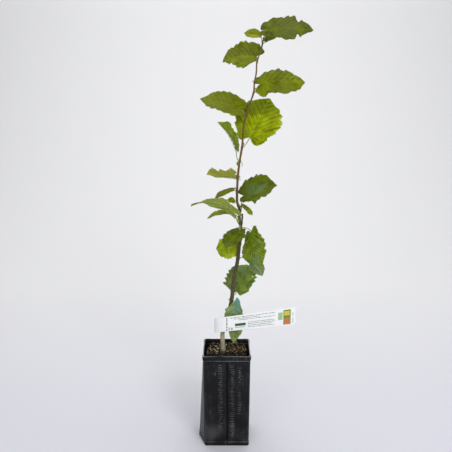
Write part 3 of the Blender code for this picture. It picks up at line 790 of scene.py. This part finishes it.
def hazel_bark():
    """Brown bark that runs from bleached tan at the foot to green-brown in the new wood."""
    m = Finish("hazel_bark", 0.62, 0.25)
    height = m.node("SeparateXYZ", Vector=m.place)["Z"]
    streaks = m.noise(1.0, 5.0, m.stretched((900, 900, 130)), Roughness=0.65)
    spots = m.node("TexVoronoi", Vector=m.stretched((600, 600, 260)), Scale=1.0)[0]
    colour = m.coats(
        paint(206, 199, 166),
        (m.spread(height, 0.185, 0.235), paint(90, 82, 58)),
        (m.spread(height, 0.34, 0.50), paint(124, 98, 50)),
        (m.spread(height, 0.160, 0.154), paint(92, 90, 88)),
        (m.spread(streaks, 0.35, 0.75, 0.0, 0.75), paint(58, 42, 30)),
        (m.spread(spots, 0.22, 0.10, 0.0, 0.6), paint(186, 170, 140)))
    return m.done(colour, streaks, 0.6, 0.0003)


def stem_line(height):
    """The middle of the stem at a height."""
    heights, xs, ys = zip(*STEM_ROUTE)
    return Vector((float(np.interp(height, heights, xs)), float(np.interp(height, heights, ys)), height))


stem_route = smooth_route([(x, y, z) for z, x, y in STEM_ROUTE], 14)
stub_route = smooth_route([(x, y, z) for z, x, y in STUB_ROUTE], 8)
stub_radii = [blend(LEADER_RADIUS, STUB_RADIUS, i / 4) for i in range(len(stub_route))]
runs = [(stem_route, [stem_radius(p.z) for p in stem_route]), (stub_route, stub_radii)]
stem = tube("stem", runs, STEM_SIDES)
for vert in stem.data.vertices:
    middle = stem_line(vert.co.z)
    out = Vector((vert.co.x - middle.x, vert.co.y - middle.y, 0))
    if out.length > BARK_REACH:
        continue
    swell = sum(NODE_SWELL * math.exp(-((vert.co.z - h) / NODE_REACH) ** 2) for h in NODE_HEIGHTS)
    ridges = noise.noise((vert.co.x * 700, vert.co.y * 700, vert.co.z * 120)) * BARK_RIDGE
    rings = noise.noise((vert.co.x * 260, vert.co.y * 260, vert.co.z * 900)) * BARK_RING
    vert.co += out.normalized() * (swell + ridges + rings)
shade(stem)
attach(stem, hazel_bark())
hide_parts("trunk")


# ---- The leaves ----
# Hazel leaves: broad, heart-shaped at the base and drawn to a short point, with a doubly toothed edge and
# seven or eight sunken veins a side that quilt the blade. Each hangs on a stalk that runs on as its midrib.
Leaf = namedtuple("Leaf", "name node reach length width heading rise roll droop fold twist upper under",
                  defaults=["plain_under"])
GREENS = {  # leaf greens, some picked bright as painted glow of light through the leaf, then the undersides' ones, the pale and soft ones also brightened as painted light from below
    "lime": (170, 190, 40), "spring": (150, 165, 10), "fresh": (140, 155, 40), "grass": (125, 145, 35),
    "moss": (110, 120, 10), "deep": (95, 110, 20), "shade": (85, 95, 5), "olive": (125, 130, 15),
    "sage": (130, 150, 80), "dusty": (110, 130, 55), "pale_under": (195, 200, 85),
    "soft_under": (165, 180, 80), "grey_under": (130, 145, 80), "plain_under": (120, 140, 60),
}
LEAVES = [Leaf(*row) for row in (
    ("hanging", 250, (4, -7, -4), 73, 36, -95, -90, 0, 0, 10, 0, "sage"),
    ("low_back", 253, (9, 17, 5), 55, 60, 60, 46, 0, 15, 10, 5, "dusty"),
    ("right_low", 321, (16, -2, 2), 48, 38, 30, -50, -30, 25, 15, -20, "dusty", "grey_under"),
    ("left_behind", 345, (-4, 10, -8), 36, 36, 190, 0, -70, 15, 5, 0, "lime"),
    ("left_front", 372, (-2, -9, -2), 50, 38, 240, -25, 0, 20, 5, -5, "deep"),
    ("right_veined", 373, (18, -9, -6), 66, 52, -70, -45, 70, 30, 5, -10, "grass"),
    ("left_under", 390, (-16, 22, 4), 44, 32, 160, -15, -20, 35, 10, 0, "fresh"),
    ("left_arching", 381, (-10, -5, 18), 80, 66, 200, 11, 18, 70, 5, -5, "moss", "soft_under"),
    ("right_small", 409, (5, -4, 2), 24, 20, -20, -40, 0, -10, 20, 15, "fresh"),
    ("left_bud", 415, (-6, -5, 2), 12, 14, 175, 20, -35, 20, 20, 0, "olive"),
    ("right_dark", 402, (6, 8, 24), 60, 60, -15, 18, 48, 30, 15, -10, "deep"),
    ("left_folded", 434, (-7, 4, 3), 34, 38, 170, -25, -5, 25, 0, -10, "olive"),
    ("left_pale", 455, (-5, 4, 5), 52, 48, 155, 0, 25, -10, 10, 0, "grass", "pale_under"),
    ("left_upright", 484, (-7, -5, 20), 52, 46, 185, 55, -15, 30, 20, -10, "grass"),
    ("right_round", 506, (13, 11, 16), 78, 77, 40, 55, 34, 10, 5, 5, "spring"),
    ("left_broad", 550, (-5, 13, 16), 73, 52, 170, 15, -46, 25, 10, 10, "moss"),
    ("right_broad", 593, (10, -4, 12), 76, 64, 10, 3, 44, 40, 0, -5, "moss"),
    ("left_high", 640, (-1, 16, 10), 64, 64, 150, -4, -48, 45, 5, 5, "moss"),
    ("top_small_left", 670, (-4, -4, 9), 26, 24, 170, 10, -45, 10, 15, 0, "olive"),
    ("top_small_right", 668, (6, 8, 5), 20, 18, 10, 25, 35, 15, 15, 0, "fresh"),
    ("top_right", 674, (5, -2, 15), 74, 70, 0, -1, 40, 20, 0, 0, "shade"),
)]
EDGES = {  # where a margin swells or is bitten in: side, place along it, gain, breadth
    "hanging": [(-1, 0.06, -0.25, 0.05), (-1, 0.17, 0.22, 0.06), (-1, 0.75, -0.38, 0.15),
        (1, 0.80, -0.12, 0.10)],
    "low_back": [(1, 0.24, 0.22, 0.035), (1, 0.10, -0.45, 0.06), (1, 0.50, -0.08, 0.15),
        (-1, 0.17, 0.15, 0.05)],
    "right_low": [(1, 0.35, -0.50, 0.15), (-1, 0.65, -0.30, 0.20)],
    "left_behind": [(1, 0.40, 0.05, 0.30), (1, 0.88, 0.50, 0.10), (-1, 0.86, 0.50, 0.12)],
    "left_front": [(-1, 0.65, -0.18, 0.15), (1, 0.42, 0.35, 0.08)],
    "right_veined": [(1, 0.67, -0.15, 0.04), (1, 0.30, -0.05, 0.15)],
    "left_under": [(1, 0.40, -0.60, 0.45), (-1, 0.35, -0.30, 0.30)],
    "left_arching": [(1, 0.22, -0.20, 0.15), (1, 0.78, -0.30, 0.12), (-1, 0.40, 0.28, 0.15)],
    "right_small": [(-1, 0.80, 0.60, 0.15), (1, 0.50, -0.10, 0.20), (1, 0.88, 0.50, 0.08)],
    "right_dark": [(-1, 0.02, -0.85, 0.035), (1, 0.40, -0.08, 0.10), (1, 0.86, -0.15, 0.04),
        (-1, 0.70, 0.12, 0.04), (-1, 0.57, -0.10, 0.03), (-1, 0.42, 0.25, 0.05), (-1, 0.10, -0.25, 0.06)],
    "left_folded": [(-1, 0.20, 0.20, 0.20), (-1, 0.85, 0.80, 0.16), (1, 0.85, 0.90, 0.18),
        (1, 0.25, 0.30, 0.25)],
    "left_pale": [(1, 0.65, 0.08, 0.05), (1, 0.45, -0.28, 0.06), (1, 0.25, -0.25, 0.04),
        (1, 0.12, 0.50, 0.05), (-1, 0.24, 0.45, 0.13)],
    "left_upright": [(-1, 0.40, -0.10, 0.25), (-1, 0.73, 0.22, 0.08), (1, 0.40, 0.25, 0.20)],
    "right_round": [(-1, 0.30, 0.10, 0.12), (-1, 0.10, 0.25, 0.06), (-1, 0.47, 0.06, 0.06),
        (1, 0.28, 0.06, 0.10)],
    "left_broad": [(-1, 0.55, -0.12, 0.20), (-1, 0.12, 0.15, 0.08), (1, 0.50, -0.10, 0.10),
        (1, 0.20, 0.20, 0.06)],
    "right_broad": [(1, 0.35, -0.08, 0.15), (1, 0.58, -0.22, 0.06), (1, 0.75, -0.12, 0.08),
        (-1, 0.13, 0.55, 0.06), (-1, 0.46, 0.12, 0.05), (-1, 0.55, -0.10, 0.03)],
    "left_high": [(-1, 0.06, 0.20, 0.06), (-1, 0.19, 0.22, 0.09), (-1, 0.93, 1.15, 0.10),
        (-1, 0.965, 1.40, 0.05), (1, 0.10, -0.30, 0.06), (1, 0.25, 0.12, 0.08), (1, 0.52, -0.25, 0.12),
        (1, 0.80, -0.55, 0.20)],
    "top_small_left": [(-1, 0.65, -0.15, 0.15), (1, 0.80, 0.20, 0.08)],
    "top_right": [(1, 0.02, -0.85, 0.035), (1, 0.10, 0.16, 0.05), (-1, 0.02, -0.85, 0.035),
        (1, 0.47, 0.05, 0.06), (1, 0.70, -0.30, 0.05), (-1, 0.28, -0.20, 0.08), (-1, 0.64, -0.45, 0.04),
        (-1, 0.80, -0.30, 0.10)],
}
LOBES = {  # how far the base's two lobes reach back, as shares of the usual
    "hanging": (0.1, 0.95),
    "left_high": (1.2, 0.6),
}
BLADE_THICKNESS = 0.0004
LOBE = 0.19
LOBE_AT = 0.075
BROAD_AT = 0.92
FULLNESS = 0.72
SHOULDER_AT = 0.76
SHOULDER_DROP = 0.5
CROWDING = 1.15
COARSE_TEETH = 8
FINE_TEETH = 32
COARSE_TOOTH = 0.15
FINE_TOOTH = 0.065
COARSE_PEAK = 0.74  # how far along a tooth its point lies
FINE_PEAK = 0.76
BLADE_COLUMNS = 128
BLADE_ROWS = 44
SMALL_LEAF = 42  # millimetres; a shorter blade gets half the cells and fine teeth
USUAL_LENGTH = 0.07  # the length of leaf that quilting, waves and cup are given for
VEIN_SPACING = 0.132  # share of the length from one side vein to the next
VEIN_SLOPE = 0.85
STEEP_VEINS = {"right_veined": 1.5, "low_back": 1.1}
VEIN_CURVE = 0.35
FIRST_VEIN = 0.04
FAN_STEP = 28.0
QUILT = 0.0018
SOFT_QUILT = 0.35  # the share of it that a leaf with no sunken veins keeps
WAVE = 0.0024
CUP = 0.0004
STALK_RADIUS = 0.00075
STALK_POINTS = 14
STALK_CLIMB = 0.5
SLIM_STALK = 0.75  # the share of its thickness that the smallest leaf's stalk has
FULL_STALK = 60  # and the leaf length, in millimetres, from which it has all of it
RIB_PROUD = 0.0007  # how far below the blade the midrib runs
RIB_POINTS = 16
RIB_END = 0.93
RIB_STEP = 0.0025  # the step, as a share of its length, that the bent midrib is summed in
STALK_PULL = 0.35
VEINED = {  # how strongly side veins are sunken and their painted shade drawn, where it isn't the usual
    "right_round": 1.0, "right_veined": 0.75, "right_broad": 0.5, "left_broad": 0.15, "top_right": 0.12,
    "right_dark": 0.25, "left_front": 0.25, "left_behind": 0.55, "left_high": 0.15,
}
USUAL_VEIN = 0.4
VEIN_WANDER = 0.5  # how far a side vein strays from its even place, in vein spacings
SHADED_FLANK = 0.12  # how far beside a vein its painted shade lies, in vein spacings
RESIDUE = {  # dried spray: place along and across, reach and strength, shares of length
    "hanging": [(-0.02, 0.08, 0.13, 1.0), (0.14, 0.10, 0.16, 0.7), (0.22, -0.06, 0.12, 0.4)],
    "low_back": [(0.30, 0.20, 0.20, 0.35), (0.70, 0.05, 0.20, 0.30)],
    "right_low": [(0.45, 0.05, 0.30, 0.5), (0.80, 0.0, 0.16, 0.6)],
    "right_veined": [(0.75, -0.10, 0.22, 0.45), (0.50, 0.15, 0.18, 0.25)],
    "right_dark": [(0.35, 0.0, 0.32, 0.16), (0.62, 0.0, 0.22, 0.12)],
}
BITTEN = {"low_back": (0.55, -0.40, 0.0022)}  # a hole: place along and across, and its radius


def leaf_edge(leaf, t, side):
    """The margin at t, from 0 in the base's notch to 1 at the tip, as shares of length and of half width."""
    lobe = LOBE * LOBES.get(leaf.name, (1, 1))[side > 0]
    along = t - lobe * (t / LOBE_AT) * np.exp(1 - t / LOBE_AT)
    across = np.sin(np.pi * np.clip(t, 0, 1) ** BROAD_AT).clip(0) ** FULLNESS
    across *= 1 - SHOULDER_DROP * np.clip((t - SHOULDER_AT) / (1 - SHOULDER_AT), 0, None) ** 1.5
    for bulge_side, at, gain, breadth in EDGES.get(leaf.name, []):
        across *= 1 + gain * np.exp(-((t - at) / breadth) ** 2) * (side * bulge_side > 0)
    return along, across


def leaf_frame(leaf):
    """The leaf's base, the way its midrib starts, and a function that bends the flat blade into place."""
    heading, rise, roll, droop, fold, twist = (math.radians(a) for a in (
        leaf.heading, leaf.rise, leaf.roll, leaf.droop, leaf.fold, leaf.twist))
    length = leaf.length / 1000
    base = stem_line(leaf.node / 1000) + Vector(leaf.reach) / 1000
    d = Vector((math.cos(rise) * math.cos(heading), math.cos(rise) * math.sin(heading), math.sin(rise)))
    up = Vector((-math.sin(rise) * math.cos(heading), -math.sin(rise) * math.sin(heading), math.cos(rise)))
    side = up.cross(d)
    n = up * math.cos(roll) - side * math.sin(roll)
    b = n.cross(d)
    steps = np.linspace(-0.3, 1.1, 561)
    leans = droop / 2 - droop * steps
    run, climb = (np.concatenate([[0], np.cumsum((wave(leans[1:]) + wave(leans[:-1])) / 2 * RIB_STEP)])
                  for wave in (np.cos, np.sin))
    run -= np.interp(0, steps, run)
    climb -= np.interp(0, steps, climb)

    def bend(along, across, lift=0.0):
        share = along / length
        lean = np.interp(share, steps, leans)[..., None]
        rib = (np.array(base) + length * (np.interp(share, steps, run)[..., None] * np.array(d)
                                          + np.interp(share, steps, climb)[..., None] * np.array(n)))
        normal = np.array(n) * np.cos(lean) - np.array(d) * np.sin(lean)
        turn = (twist * share)[..., None]
        out = np.array(b) * np.cos(turn) + normal * np.sin(turn)
        up_here = normal * np.cos(turn) - np.array(b) * np.sin(turn)
        high = np.abs(across) * math.sin(fold) + lift
        return rib + out * (across * math.cos(fold))[..., None] + up_here * high[..., None]

    return base, d * math.cos(droop / 2) + n * math.sin(droop / 2), bend


def vein_phase(along, across, slope):
    """Counts side veins over the flat blade: a whole number on each, and a fan of them below the first."""
    wide = np.abs(across)
    phase = (along - FIRST_VEIN - slope * wide - VEIN_CURVE * wide ** 2) / VEIN_SPACING
    first = math.degrees(math.atan(slope))
    fan = (np.degrees(np.arctan2(along - FIRST_VEIN, wide + 1e-9)) - first) / FAN_STEP
    return np.where(phase < 0, np.maximum(fan, -8.0), phase)


def saw(place, peak):
    """Rises from 0 to 1 at the peak and falls back to 0 at place 1."""
    return np.where(place < peak, place / peak, (1 - place) / (1 - peak))


def make_blade(leaf, bend, seed):
    """The blade as one quilted sheet, with its places on the flat leaf kept as attributes."""
    coarser = 2 if leaf.length < SMALL_LEAF else 1
    blade = new_grid(BLADE_COLUMNS // coarser, BLADE_ROWS // coarser)
    flat = np.empty(len(blade.data.vertices) * 3)
    blade.data.vertices.foreach_get("co", flat)
    station, v = (flat[0::3] + 1) / 2, flat[1::3]
    t = station ** CROWDING
    near, far = leaf_edge(leaf, t, -1), leaf_edge(leaf, t, 1)
    edge_along = np.where(v > 0, far[0], near[0])
    edge_across = np.where(v > 0, far[1], near[1])
    uneven = np.random.default_rng(seed + 5).uniform(0.4, 1.2, (2, 2, 40))
    side = (v > 0).astype(int)
    coarse = station * COARSE_TEETH + 0.4 * side
    fine = station * (FINE_TEETH // coarser)
    jag = uneven[0, side, coarse.astype(int)] * COARSE_TOOTH
    nick = uneven[1, side, fine.astype(int)] * FINE_TOOTH
    coarse, fine = coarse % 1.0, fine % 1.0
    teeth = jag * (saw(coarse, COARSE_PEAK) - 0.6)
    teeth += nick * (saw(fine, FINE_PEAK) - 0.5)
    along = t + (edge_along - t) * np.abs(v)
    half = leaf.width / leaf.length / 2
    across = half * edge_across * v * (1 + teeth * np.abs(v) ** 10)
    phase = vein_phase(along, across, STEEP_VEINS.get(leaf.name, VEIN_SLOPE))
    between = np.abs(np.sin(np.pi * phase)) ** 0.7
    taper = np.clip(edge_across * 2.2, 0, 1) * np.clip(1.15 - np.abs(v) ** 3, 0, 1)
    scale = leaf.length / 1000
    waves = np.array([noise.noise((float(a) * 3.1, float(c) * 3.1, seed * 7.7))
                      for a, c in zip(along, across)])
    depth = SOFT_QUILT + (1 - SOFT_QUILT) * VEINED.get(leaf.name, USUAL_VEIN)
    lift = QUILT * depth * scale / USUAL_LENGTH * between * taper
    lift += WAVE * scale / USUAL_LENGTH * waves * 1.6 * np.abs(v) ** 1.5
    lift += CUP * np.clip(np.abs(across) / 0.03, 0, 1) * scale / USUAL_LENGTH
    places = bend(along * scale, across * scale, lift)
    blade.data.vertices.foreach_set("co", places.ravel())
    for name, values in (("vein_phase", phase), ("along", along), ("across", across)):
        blade.data.attributes.new(name, "FLOAT", "POINT").data.foreach_set("value", values)
    blade.data.update()
    return blade


def leaf_skin(name, leaf):
    """Matt leaf green with paler veins, painted shade on one flank of each and painted light between them, a
    fine net between them and a pale underside.
    """
    m = Finish(name, 0.65, 0.05)
    counted, along, across, upper = (m.node("Attribute", attribute_name=name)["Fac"]
                                     for name in ("vein_phase", "along", "across", "upper"))
    flat = m.node("CombineXYZ", _0=along, _1=across, _2=leaf.node * 0.1)[0]
    wander = m.math("MULTIPLY_ADD", m.noise(3.2, 2.0, flat), VEIN_WANDER, counted)
    phase = m.math("SUBTRACT", wander, VEIN_WANDER / 2)
    from_vein = m.math("PINGPONG", phase, 0.5)
    from_shaded_flank = m.math("PINGPONG", m.math("ADD", phase, SHADED_FLANK), 0.5)
    from_rib = m.math("ABSOLUTE", across)
    side_veins = m.spread(from_vein, 0.09, 0.02)
    fan_fade = m.spread(counted, -1.2, 0.3, 0.25, 1.0)
    valley_shade = m.times(m.spread(from_shaded_flank, 0.12, 0.02), fan_fade, VEINED.get(leaf.name, USUAL_VEIN))
    net = m.node("TexVoronoi", feature="DISTANCE_TO_EDGE", Vector=flat, Scale=26.0)[0]
    cloud = m.noise(4.5, 5.0, flat, Roughness=0.6)
    mottle = m.spread(cloud, 0.3, 0.7)
    green, pale = GREENS[leaf.upper], GREENS[leaf.under]
    dark, light = paint(*green, gain=0.44), paint(*green, gain=1.5)
    top = m.coats(
        dark,
        (mottle, light),
        # Painted light: lighter away from the veins, on the raised parts of the quilted blade.
        (m.spread(from_vein, 0.20, 0.5, 0.0, 0.30), light),
        (m.spread(m.noise(1.7, 2.0, flat), 0.40, 0.62, 0.0, 0.75),
         paint(*green, gain=(0.95, 0.90, 1.0), lift=(0.010, 0.010, 0.014))),
        # Painted shade along one flank of each sunken vein.
        (valley_shade, paint(*green, gain=0.38)),
        (m.times(m.spread(net, 0.12, 0.02), 0.35), dark),
        (m.times(side_veins, fan_fade, 0.35), paint(*green, gain=1.5, lift=0.015)),
        (m.times(m.spread(from_rib, 0.013, 0.004), 0.5),
         paint(*green, gain=(1.5, 1.5, 1.0), lift=(0.02, 0.02, 0.01))))
    under_veins = m.math("MAXIMUM", side_veins, m.spread(from_rib, 0.030, 0.012))
    under = m.coats(paint(*pale, gain=0.8), (mottle, paint(*pale, gain=1.1)),
                    (m.times(under_veins, 0.8), paint(*pale, gain=1.5, lift=0.05)))
    for spot_along, spot_across, reach, strength in RESIDUE.get(leaf.name, []):
        away = m.away(flat, (spot_along, spot_across, leaf.node * 0.1))
        patch = m.times(m.spread(away, reach, reach * 0.3), m.spread(cloud, 0.35, 0.62, 0.0, strength))
        top = m.coats(top, (patch, paint(92, 150, 150)))
        under = m.coats(under, (patch, paint(96, 148, 150)))
    return m.done(m.coats(under, (upper, top)), net, 0.35, 0.0004)


finish, _, colour = mottled("leaf_stalk", 0.6, 0.2, 500.0, 3.0, paint(138, 140, 72), paint(182, 186, 118))
stalk_green = finish.done(colour)
for number, leaf in enumerate(LEAVES):
    title = "%02d_%s" % (number + 1, leaf.name)
    base, start_way, bend = leaf_frame(leaf)
    blade = make_blade(leaf, bend, number)
    select_vertices(blade)
    bpy.ops.mesh.remove_doubles(threshold=0.00002)
    back_to_object_mode()
    if leaf.name in BITTEN:
        spot_along, spot_across, reach = BITTEN[leaf.name]
        size = leaf.length / 1000
        spot = Vector(bend(np.array([spot_along * size]), np.array([spot_across * size]))[0])
        select_vertices(blade, lambda co: (co - spot).length < reach)
        bpy.ops.mesh.delete(type="FACE")
        back_to_object_mode()
    count = len(blade.data.vertices)
    thicken(blade, BLADE_THICKNESS, 0.0)
    upper = np.zeros(len(blade.data.vertices))
    upper[:count] = 1.0
    blade.data.attributes.new("upper", "FLOAT", "POINT").data.foreach_set("value", upper)
    shade(blade)
    blade.data.materials.append(leaf_skin("skin_" + title, leaf))
    root = stem_line(leaf.node / 1000)
    outward = Vector((leaf.reach[0], leaf.reach[1], 0)).normalized()
    start = root + outward * stem_radius(leaf.node / 1000) * 0.7
    span = (base - start).length
    leave = (outward + Vector((0, 0, STALK_CLIMB))).normalized()
    c1, c2 = start + leave * span * STALK_PULL, base - start_way * span * STALK_PULL
    points, radii = [], []
    slim = blend(SLIM_STALK, 1.0, leaf.length / FULL_STALK)
    for i in range(STALK_POINTS):
        t = i / STALK_POINTS
        s = 1 - t
        points.append(start * s ** 3 + c1 * 3 * t * s * s + c2 * 3 * t * t * s + base * t ** 3)
        radii.append(STALK_RADIUS * (1 + 0.5 * (1 - t) ** 6) * slim)
    along = np.linspace(0, RIB_END, RIB_POINTS) * leaf.length / 1000
    below = -RIB_PROUD * np.linspace(1, 0.2, RIB_POINTS)
    for place, share in zip(bend(along, along * 0, below), np.linspace(0, 1, RIB_POINTS)):
        points.append(Vector(place))
        radii.append(STALK_RADIUS * slim * blend(0.9, 0.2, share))
    stalk = tube("stalk", [(points, radii)], 6)
    shade(stalk)
    stalk.data.materials.append(stalk_green)
    blade = joined("blade_" + title, [blade, stalk])
    attach(blade)
    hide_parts("leaf_" + title)


# ---- The buds, stipules and old stalks ----
# A plump bud sits above each stalk, wrapped in overlapping scales. Here and there a papery stipule or the
# withered foot of a lost leaf still hangs on the stem.
BUDS = [  # height, heading, length, how far it leans out
    (0.291, 10, 0.0042, 35), (0.324, 195, 0.0044, 30), (0.352, 20, 0.0036, 35), (0.377, 100, 0.0046, 28),
    (0.386, 215, 0.0060, 20), (0.407, 330, 0.0048, 30), (0.438, 195, 0.0040, 30), (0.459, 200, 0.0042, 35),
    (0.476, 185, 0.0078, 12), (0.510, 20, 0.0044, 30), (0.554, 170, 0.0040, 30), (0.597, 350, 0.0040, 30),
    (0.644, 160, 0.0036, 30), (0.672, 60, 0.0034, 15),
]
STIPULES = [  # height where it starts, heading, length, width, how far it hangs down
    (0.484, 350, 0.0115, 0.0016, 0.0090), (0.459, 345, 0.0085, 0.0014, 0.0070),
    (0.388, 230, 0.0090, 0.0022, 0.0075), (0.251, 200, 0.0055, 0.0016, 0.0040),
    (0.378, 250, 0.0070, 0.0018, 0.0060), (0.612, 200, 0.0050, 0.0014, 0.0020),
]
BUD_SINK = 0.0003  # how deep a bud's foot sits in the bark


def on_stem(height, heading):
    """A spot on the bark, and the level way out from it."""
    out = Vector((math.cos(math.radians(heading)), math.sin(math.radians(heading)), 0))
    return stem_line(height) + out * stem_radius(height), out


bpy.ops.object.select_all(action="DESELECT")
bpy.ops.mesh.primitive_uv_sphere_add(segments=20, ring_count=16, radius=0.5)
bud = bpy.context.object
for vert in bud.data.vertices:
    share = vert.co.z + 0.5
    plump = 1.25 * (1 - share) ** 0.35 * share ** 0.12 if 0 < share < 1 else 0.2
    around = math.atan2(vert.co.y, vert.co.x)
    overlap = 1 + 0.10 * ((share * 3.0 + around / math.pi) % 1.0)
    vert.co.xy = vert.co.xy * (0.55 * plump * overlap)
    vert.co.z = share
face_outwards(bud)
copies = []
for height, heading, length, lean in BUDS:
    spot, out = on_stem(height, heading)
    way = out * math.sin(math.radians(lean)) + Vector((0, 0, math.cos(math.radians(lean))))
    turn = way.to_track_quat("Z", "Y").to_matrix()
    copies.append(moved_copy(bud, lambda co: spot - out * BUD_SINK + turn @ (co * length)))
bpy.data.objects.remove(bud, do_unlink=True)
buds = joined("buds", copies)
shade(buds)
finish, _, colour = mottled("bud_scales", 0.5, 0.25, 700.0, 3.0, paint(112, 112, 36), paint(146, 138, 62))
attach(buds, finish.done(colour))

papery = []
for height, heading, length, width, hang in STIPULES:
    spot, out = on_stem(height, heading)
    aside = out.cross(Vector((0, 0, 1)))
    scale = new_grid(14, 4)
    for vert in scale.data.vertices:
        share, v = (vert.co.x + 1) / 2, vert.co.y
        half = width * math.sin(math.pi * min(share * 0.92 + 0.06, 1.0)) ** 0.7
        down = -hang * share ** 1.4
        reach = (length - hang) * math.sin(share * math.pi * 0.6)
        curl = width * 0.35 * v * v
        vert.co = spot + out * (reach - 0.0004 + curl) + aside * half * v + Vector((0, 0, down))
    thicken(scale, 0.0003, -1.0)
    papery.append(scale)
stipules = joined("stipules", papery)
shade(stipules)
attach(stipules, stalk_green)


# ---- The tag ----
# A strip of thin white plastic. Its narrow end is bent back round the stem and comes out behind its front,
# which stands straight out to the right and climbs a little.
TAG_WIDTH = 0.026
TAG_END_WIDTH = 0.031
TAG_THICKNESS = 0.0004
TAG_END = 0.116
TAG_RISE = 7.0
TAG_HEIGHT = 0.2105
TAG_DIP = 0.33
TAG_FRONT = -0.015
TAG_BACK = 0.009
TAG_LEFT = -0.021
TAG_BEND = -0.002
TAG_JOIN = 0.060
TAG_ROUND = 0.0022
TAG_BOW = 0.0006


def tag_middle(x, y):
    return TAG_HEIGHT + math.tan(math.radians(TAG_RISE)) * x - TAG_DIP * (y - TAG_FRONT)


def tag_half(x):
    return blend(TAG_WIDTH, TAG_END_WIDTH, x / TAG_END) / 2


def white_plastic():
    """White plastic film, faintly mottled, with a little dirt that has dried on it."""
    m, _, white = mottled("white_tag_plastic", 0.38, 0.3, 60.0, 4.0, paint(248, 250, 251),
                          paint(255, 255, 254), 0.35)
    dirt = m.spread(m.noise(700.0, 2.0), 0.68, 0.78, 0.0, 0.5)
    return m.done(m.coats(white, (dirt, paint(176, 176, 168))))


middle, half = (TAG_FRONT + TAG_BACK) / 2, (TAG_BACK - TAG_FRONT) / 2
tag_route = []
for k in range(20, 0, -1):
    share = k / 20
    tag_route.append((TAG_BEND + (TAG_JOIN - TAG_BEND) * share,
                      middle + (half - 0.0006) * math.cos(math.pi * share)))
for k in range(24, -1, -1):
    turn = math.pi * k / 24
    tag_route.append((TAG_BEND - (TAG_BEND - TAG_LEFT) * math.sin(turn), middle - half * math.cos(turn)))
tag_route += [(blend(TAG_BEND, TAG_END - TAG_ROUND, k / 30), TAG_FRONT) for k in range(1, 31)]
tag_route += [(TAG_END - TAG_ROUND * (1 - k / 5), TAG_FRONT) for k in range(1, 6)]
tag = new_grid(len(tag_route) - 1, 8)
tag.name = "tag_strip"
for vert in tag.data.vertices:
    x, y = tag_route[round((vert.co.x + 1) / 2 * (len(tag_route) - 1))]
    past = max(0.0, x - (TAG_END - TAG_ROUND))
    trim = TAG_ROUND - math.sqrt(max(TAG_ROUND ** 2 - past ** 2, 0.0))
    bow = TAG_BOW * (vert.co.y ** 2 - 1) * (y > 0)
    vert.co = (x, y + bow, tag_middle(x, y) + vert.co.y * (tag_half(x) - trim))
thicken(tag, TAG_THICKNESS, 0.0, 0.0001, 60)
shade(tag, SMOOTH_BELOW)
attach(tag, white_plastic())
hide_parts("tag")


# ---- The tag's print ----
# Inks screened on the strip's front: ruled lines to write on, a few plain bars and marks, and a band of
# coloured fields near the free end.
INK = 0.00006
RULE_HALF = 0.035
PRINT = [  # colour, from x, to x, from and to across the width (-1 foot to 1 top)
    ("dark", -0.0006, 0.0010, -0.92, -0.66), ("dark", -0.0006, 0.0010, -0.56, -0.30),
    ("dark", -0.0006, 0.0010, -0.18, 0.20), ("dark", -0.0006, 0.0010, 0.30, 0.52),
    ("dark", -0.0006, 0.0010, 0.62, 0.86),
    ("leafy", 0.0034, 0.0050, -0.86, -0.50),
    ("leafy", 0.0078, 0.0098, -0.90, -0.56),
    ("dark", 0.0140, 0.0320, -0.42, -0.08),
    ("leafy", 0.0140, 0.0300, -0.62, -0.55),
    ("pale", 0.0868, 0.0945, -0.25, 0.62),
    ("leafy", 0.0957, 0.0972, -0.84, 0.86), ("leafy", 0.1064, 0.1079, -0.84, 0.86),
    ("leafy", 0.0972, 0.1064, 0.72, 0.86), ("leafy", 0.0972, 0.1064, -0.06, 0.20),
    ("sun", 0.0972, 0.1064, 0.20, 0.72), ("clay", 0.0972, 0.1064, -0.84, -0.06),
    ("grey", 0.1112, 0.1122, -0.70, -0.10),
    ("grey", 0.1112, 0.1122, 0.10, 0.50),
]
RULED = [  # from x, to x, how far up the width
    (0.0060, 0.0820, 0.74), (0.0120, 0.0560, 0.55), (0.0200, 0.0820, 0.36), (0.0360, 0.0820, -0.06),
    (0.0360, 0.0820, -0.26), (0.0360, 0.0760, -0.46), (0.0360, 0.0800, -0.66),
]
INKS = {"dark": (36, 92, 44), "leafy": (96, 148, 52), "pale": (168, 200, 150), "sun": (226, 196, 62),
        "clay": (206, 120, 62), "grey": (150, 156, 156), "rule": (128, 148, 128)}


def ink_finish(name, colour):
    """Flat ink, broken up a little where it has worn."""
    m, _, worn = mottled("ink_" + name, 0.45, 0.2, 900.0, 3.0, paint(*colour), paint(235, 238, 238), 0.55,
                         0.75, 0.5)
    return m.done(worn)


def printed(name, fields):
    """Thin raised plates on the front of the strip, as one mesh."""
    front = TAG_FRONT - TAG_THICKNESS / 2 + INK / 2
    plates = []
    for x0, x1, low, high in fields:
        plate = new_grid(8, 2)
        for vert in plate.data.vertices:
            x = blend(x0, x1, (vert.co.x + 1) / 2)
            up = blend(low, high, (vert.co.y + 1) / 2)
            vert.co = (x, front, tag_middle(x, TAG_FRONT) + up * tag_half(x))
        select_vertices(plate)
        bpy.ops.mesh.extrude_region_move(TRANSFORM_OT_translate={"value": (0, -1.5 * INK, 0)})
        back_to_object_mode()
        face_outwards(plate)
        plates.append(plate)
    return joined(name, plates)


dashes = random.Random(5)
for ink, colour in INKS.items():
    fields = [row[1:] for row in PRINT if row[0] == ink]
    if ink == "rule":
        fields = []
        for x, end, up in RULED:
            while x < end:
                dash = dashes.uniform(0.0012, 0.0060)
                fields.append((x, min(x + dash, end), up - RULE_HALF, up + RULE_HALF))
                x += dash + dashes.uniform(0.0006, 0.0012)
    attach(printed("print_" + ink, fields), ink_finish(ink, colour))
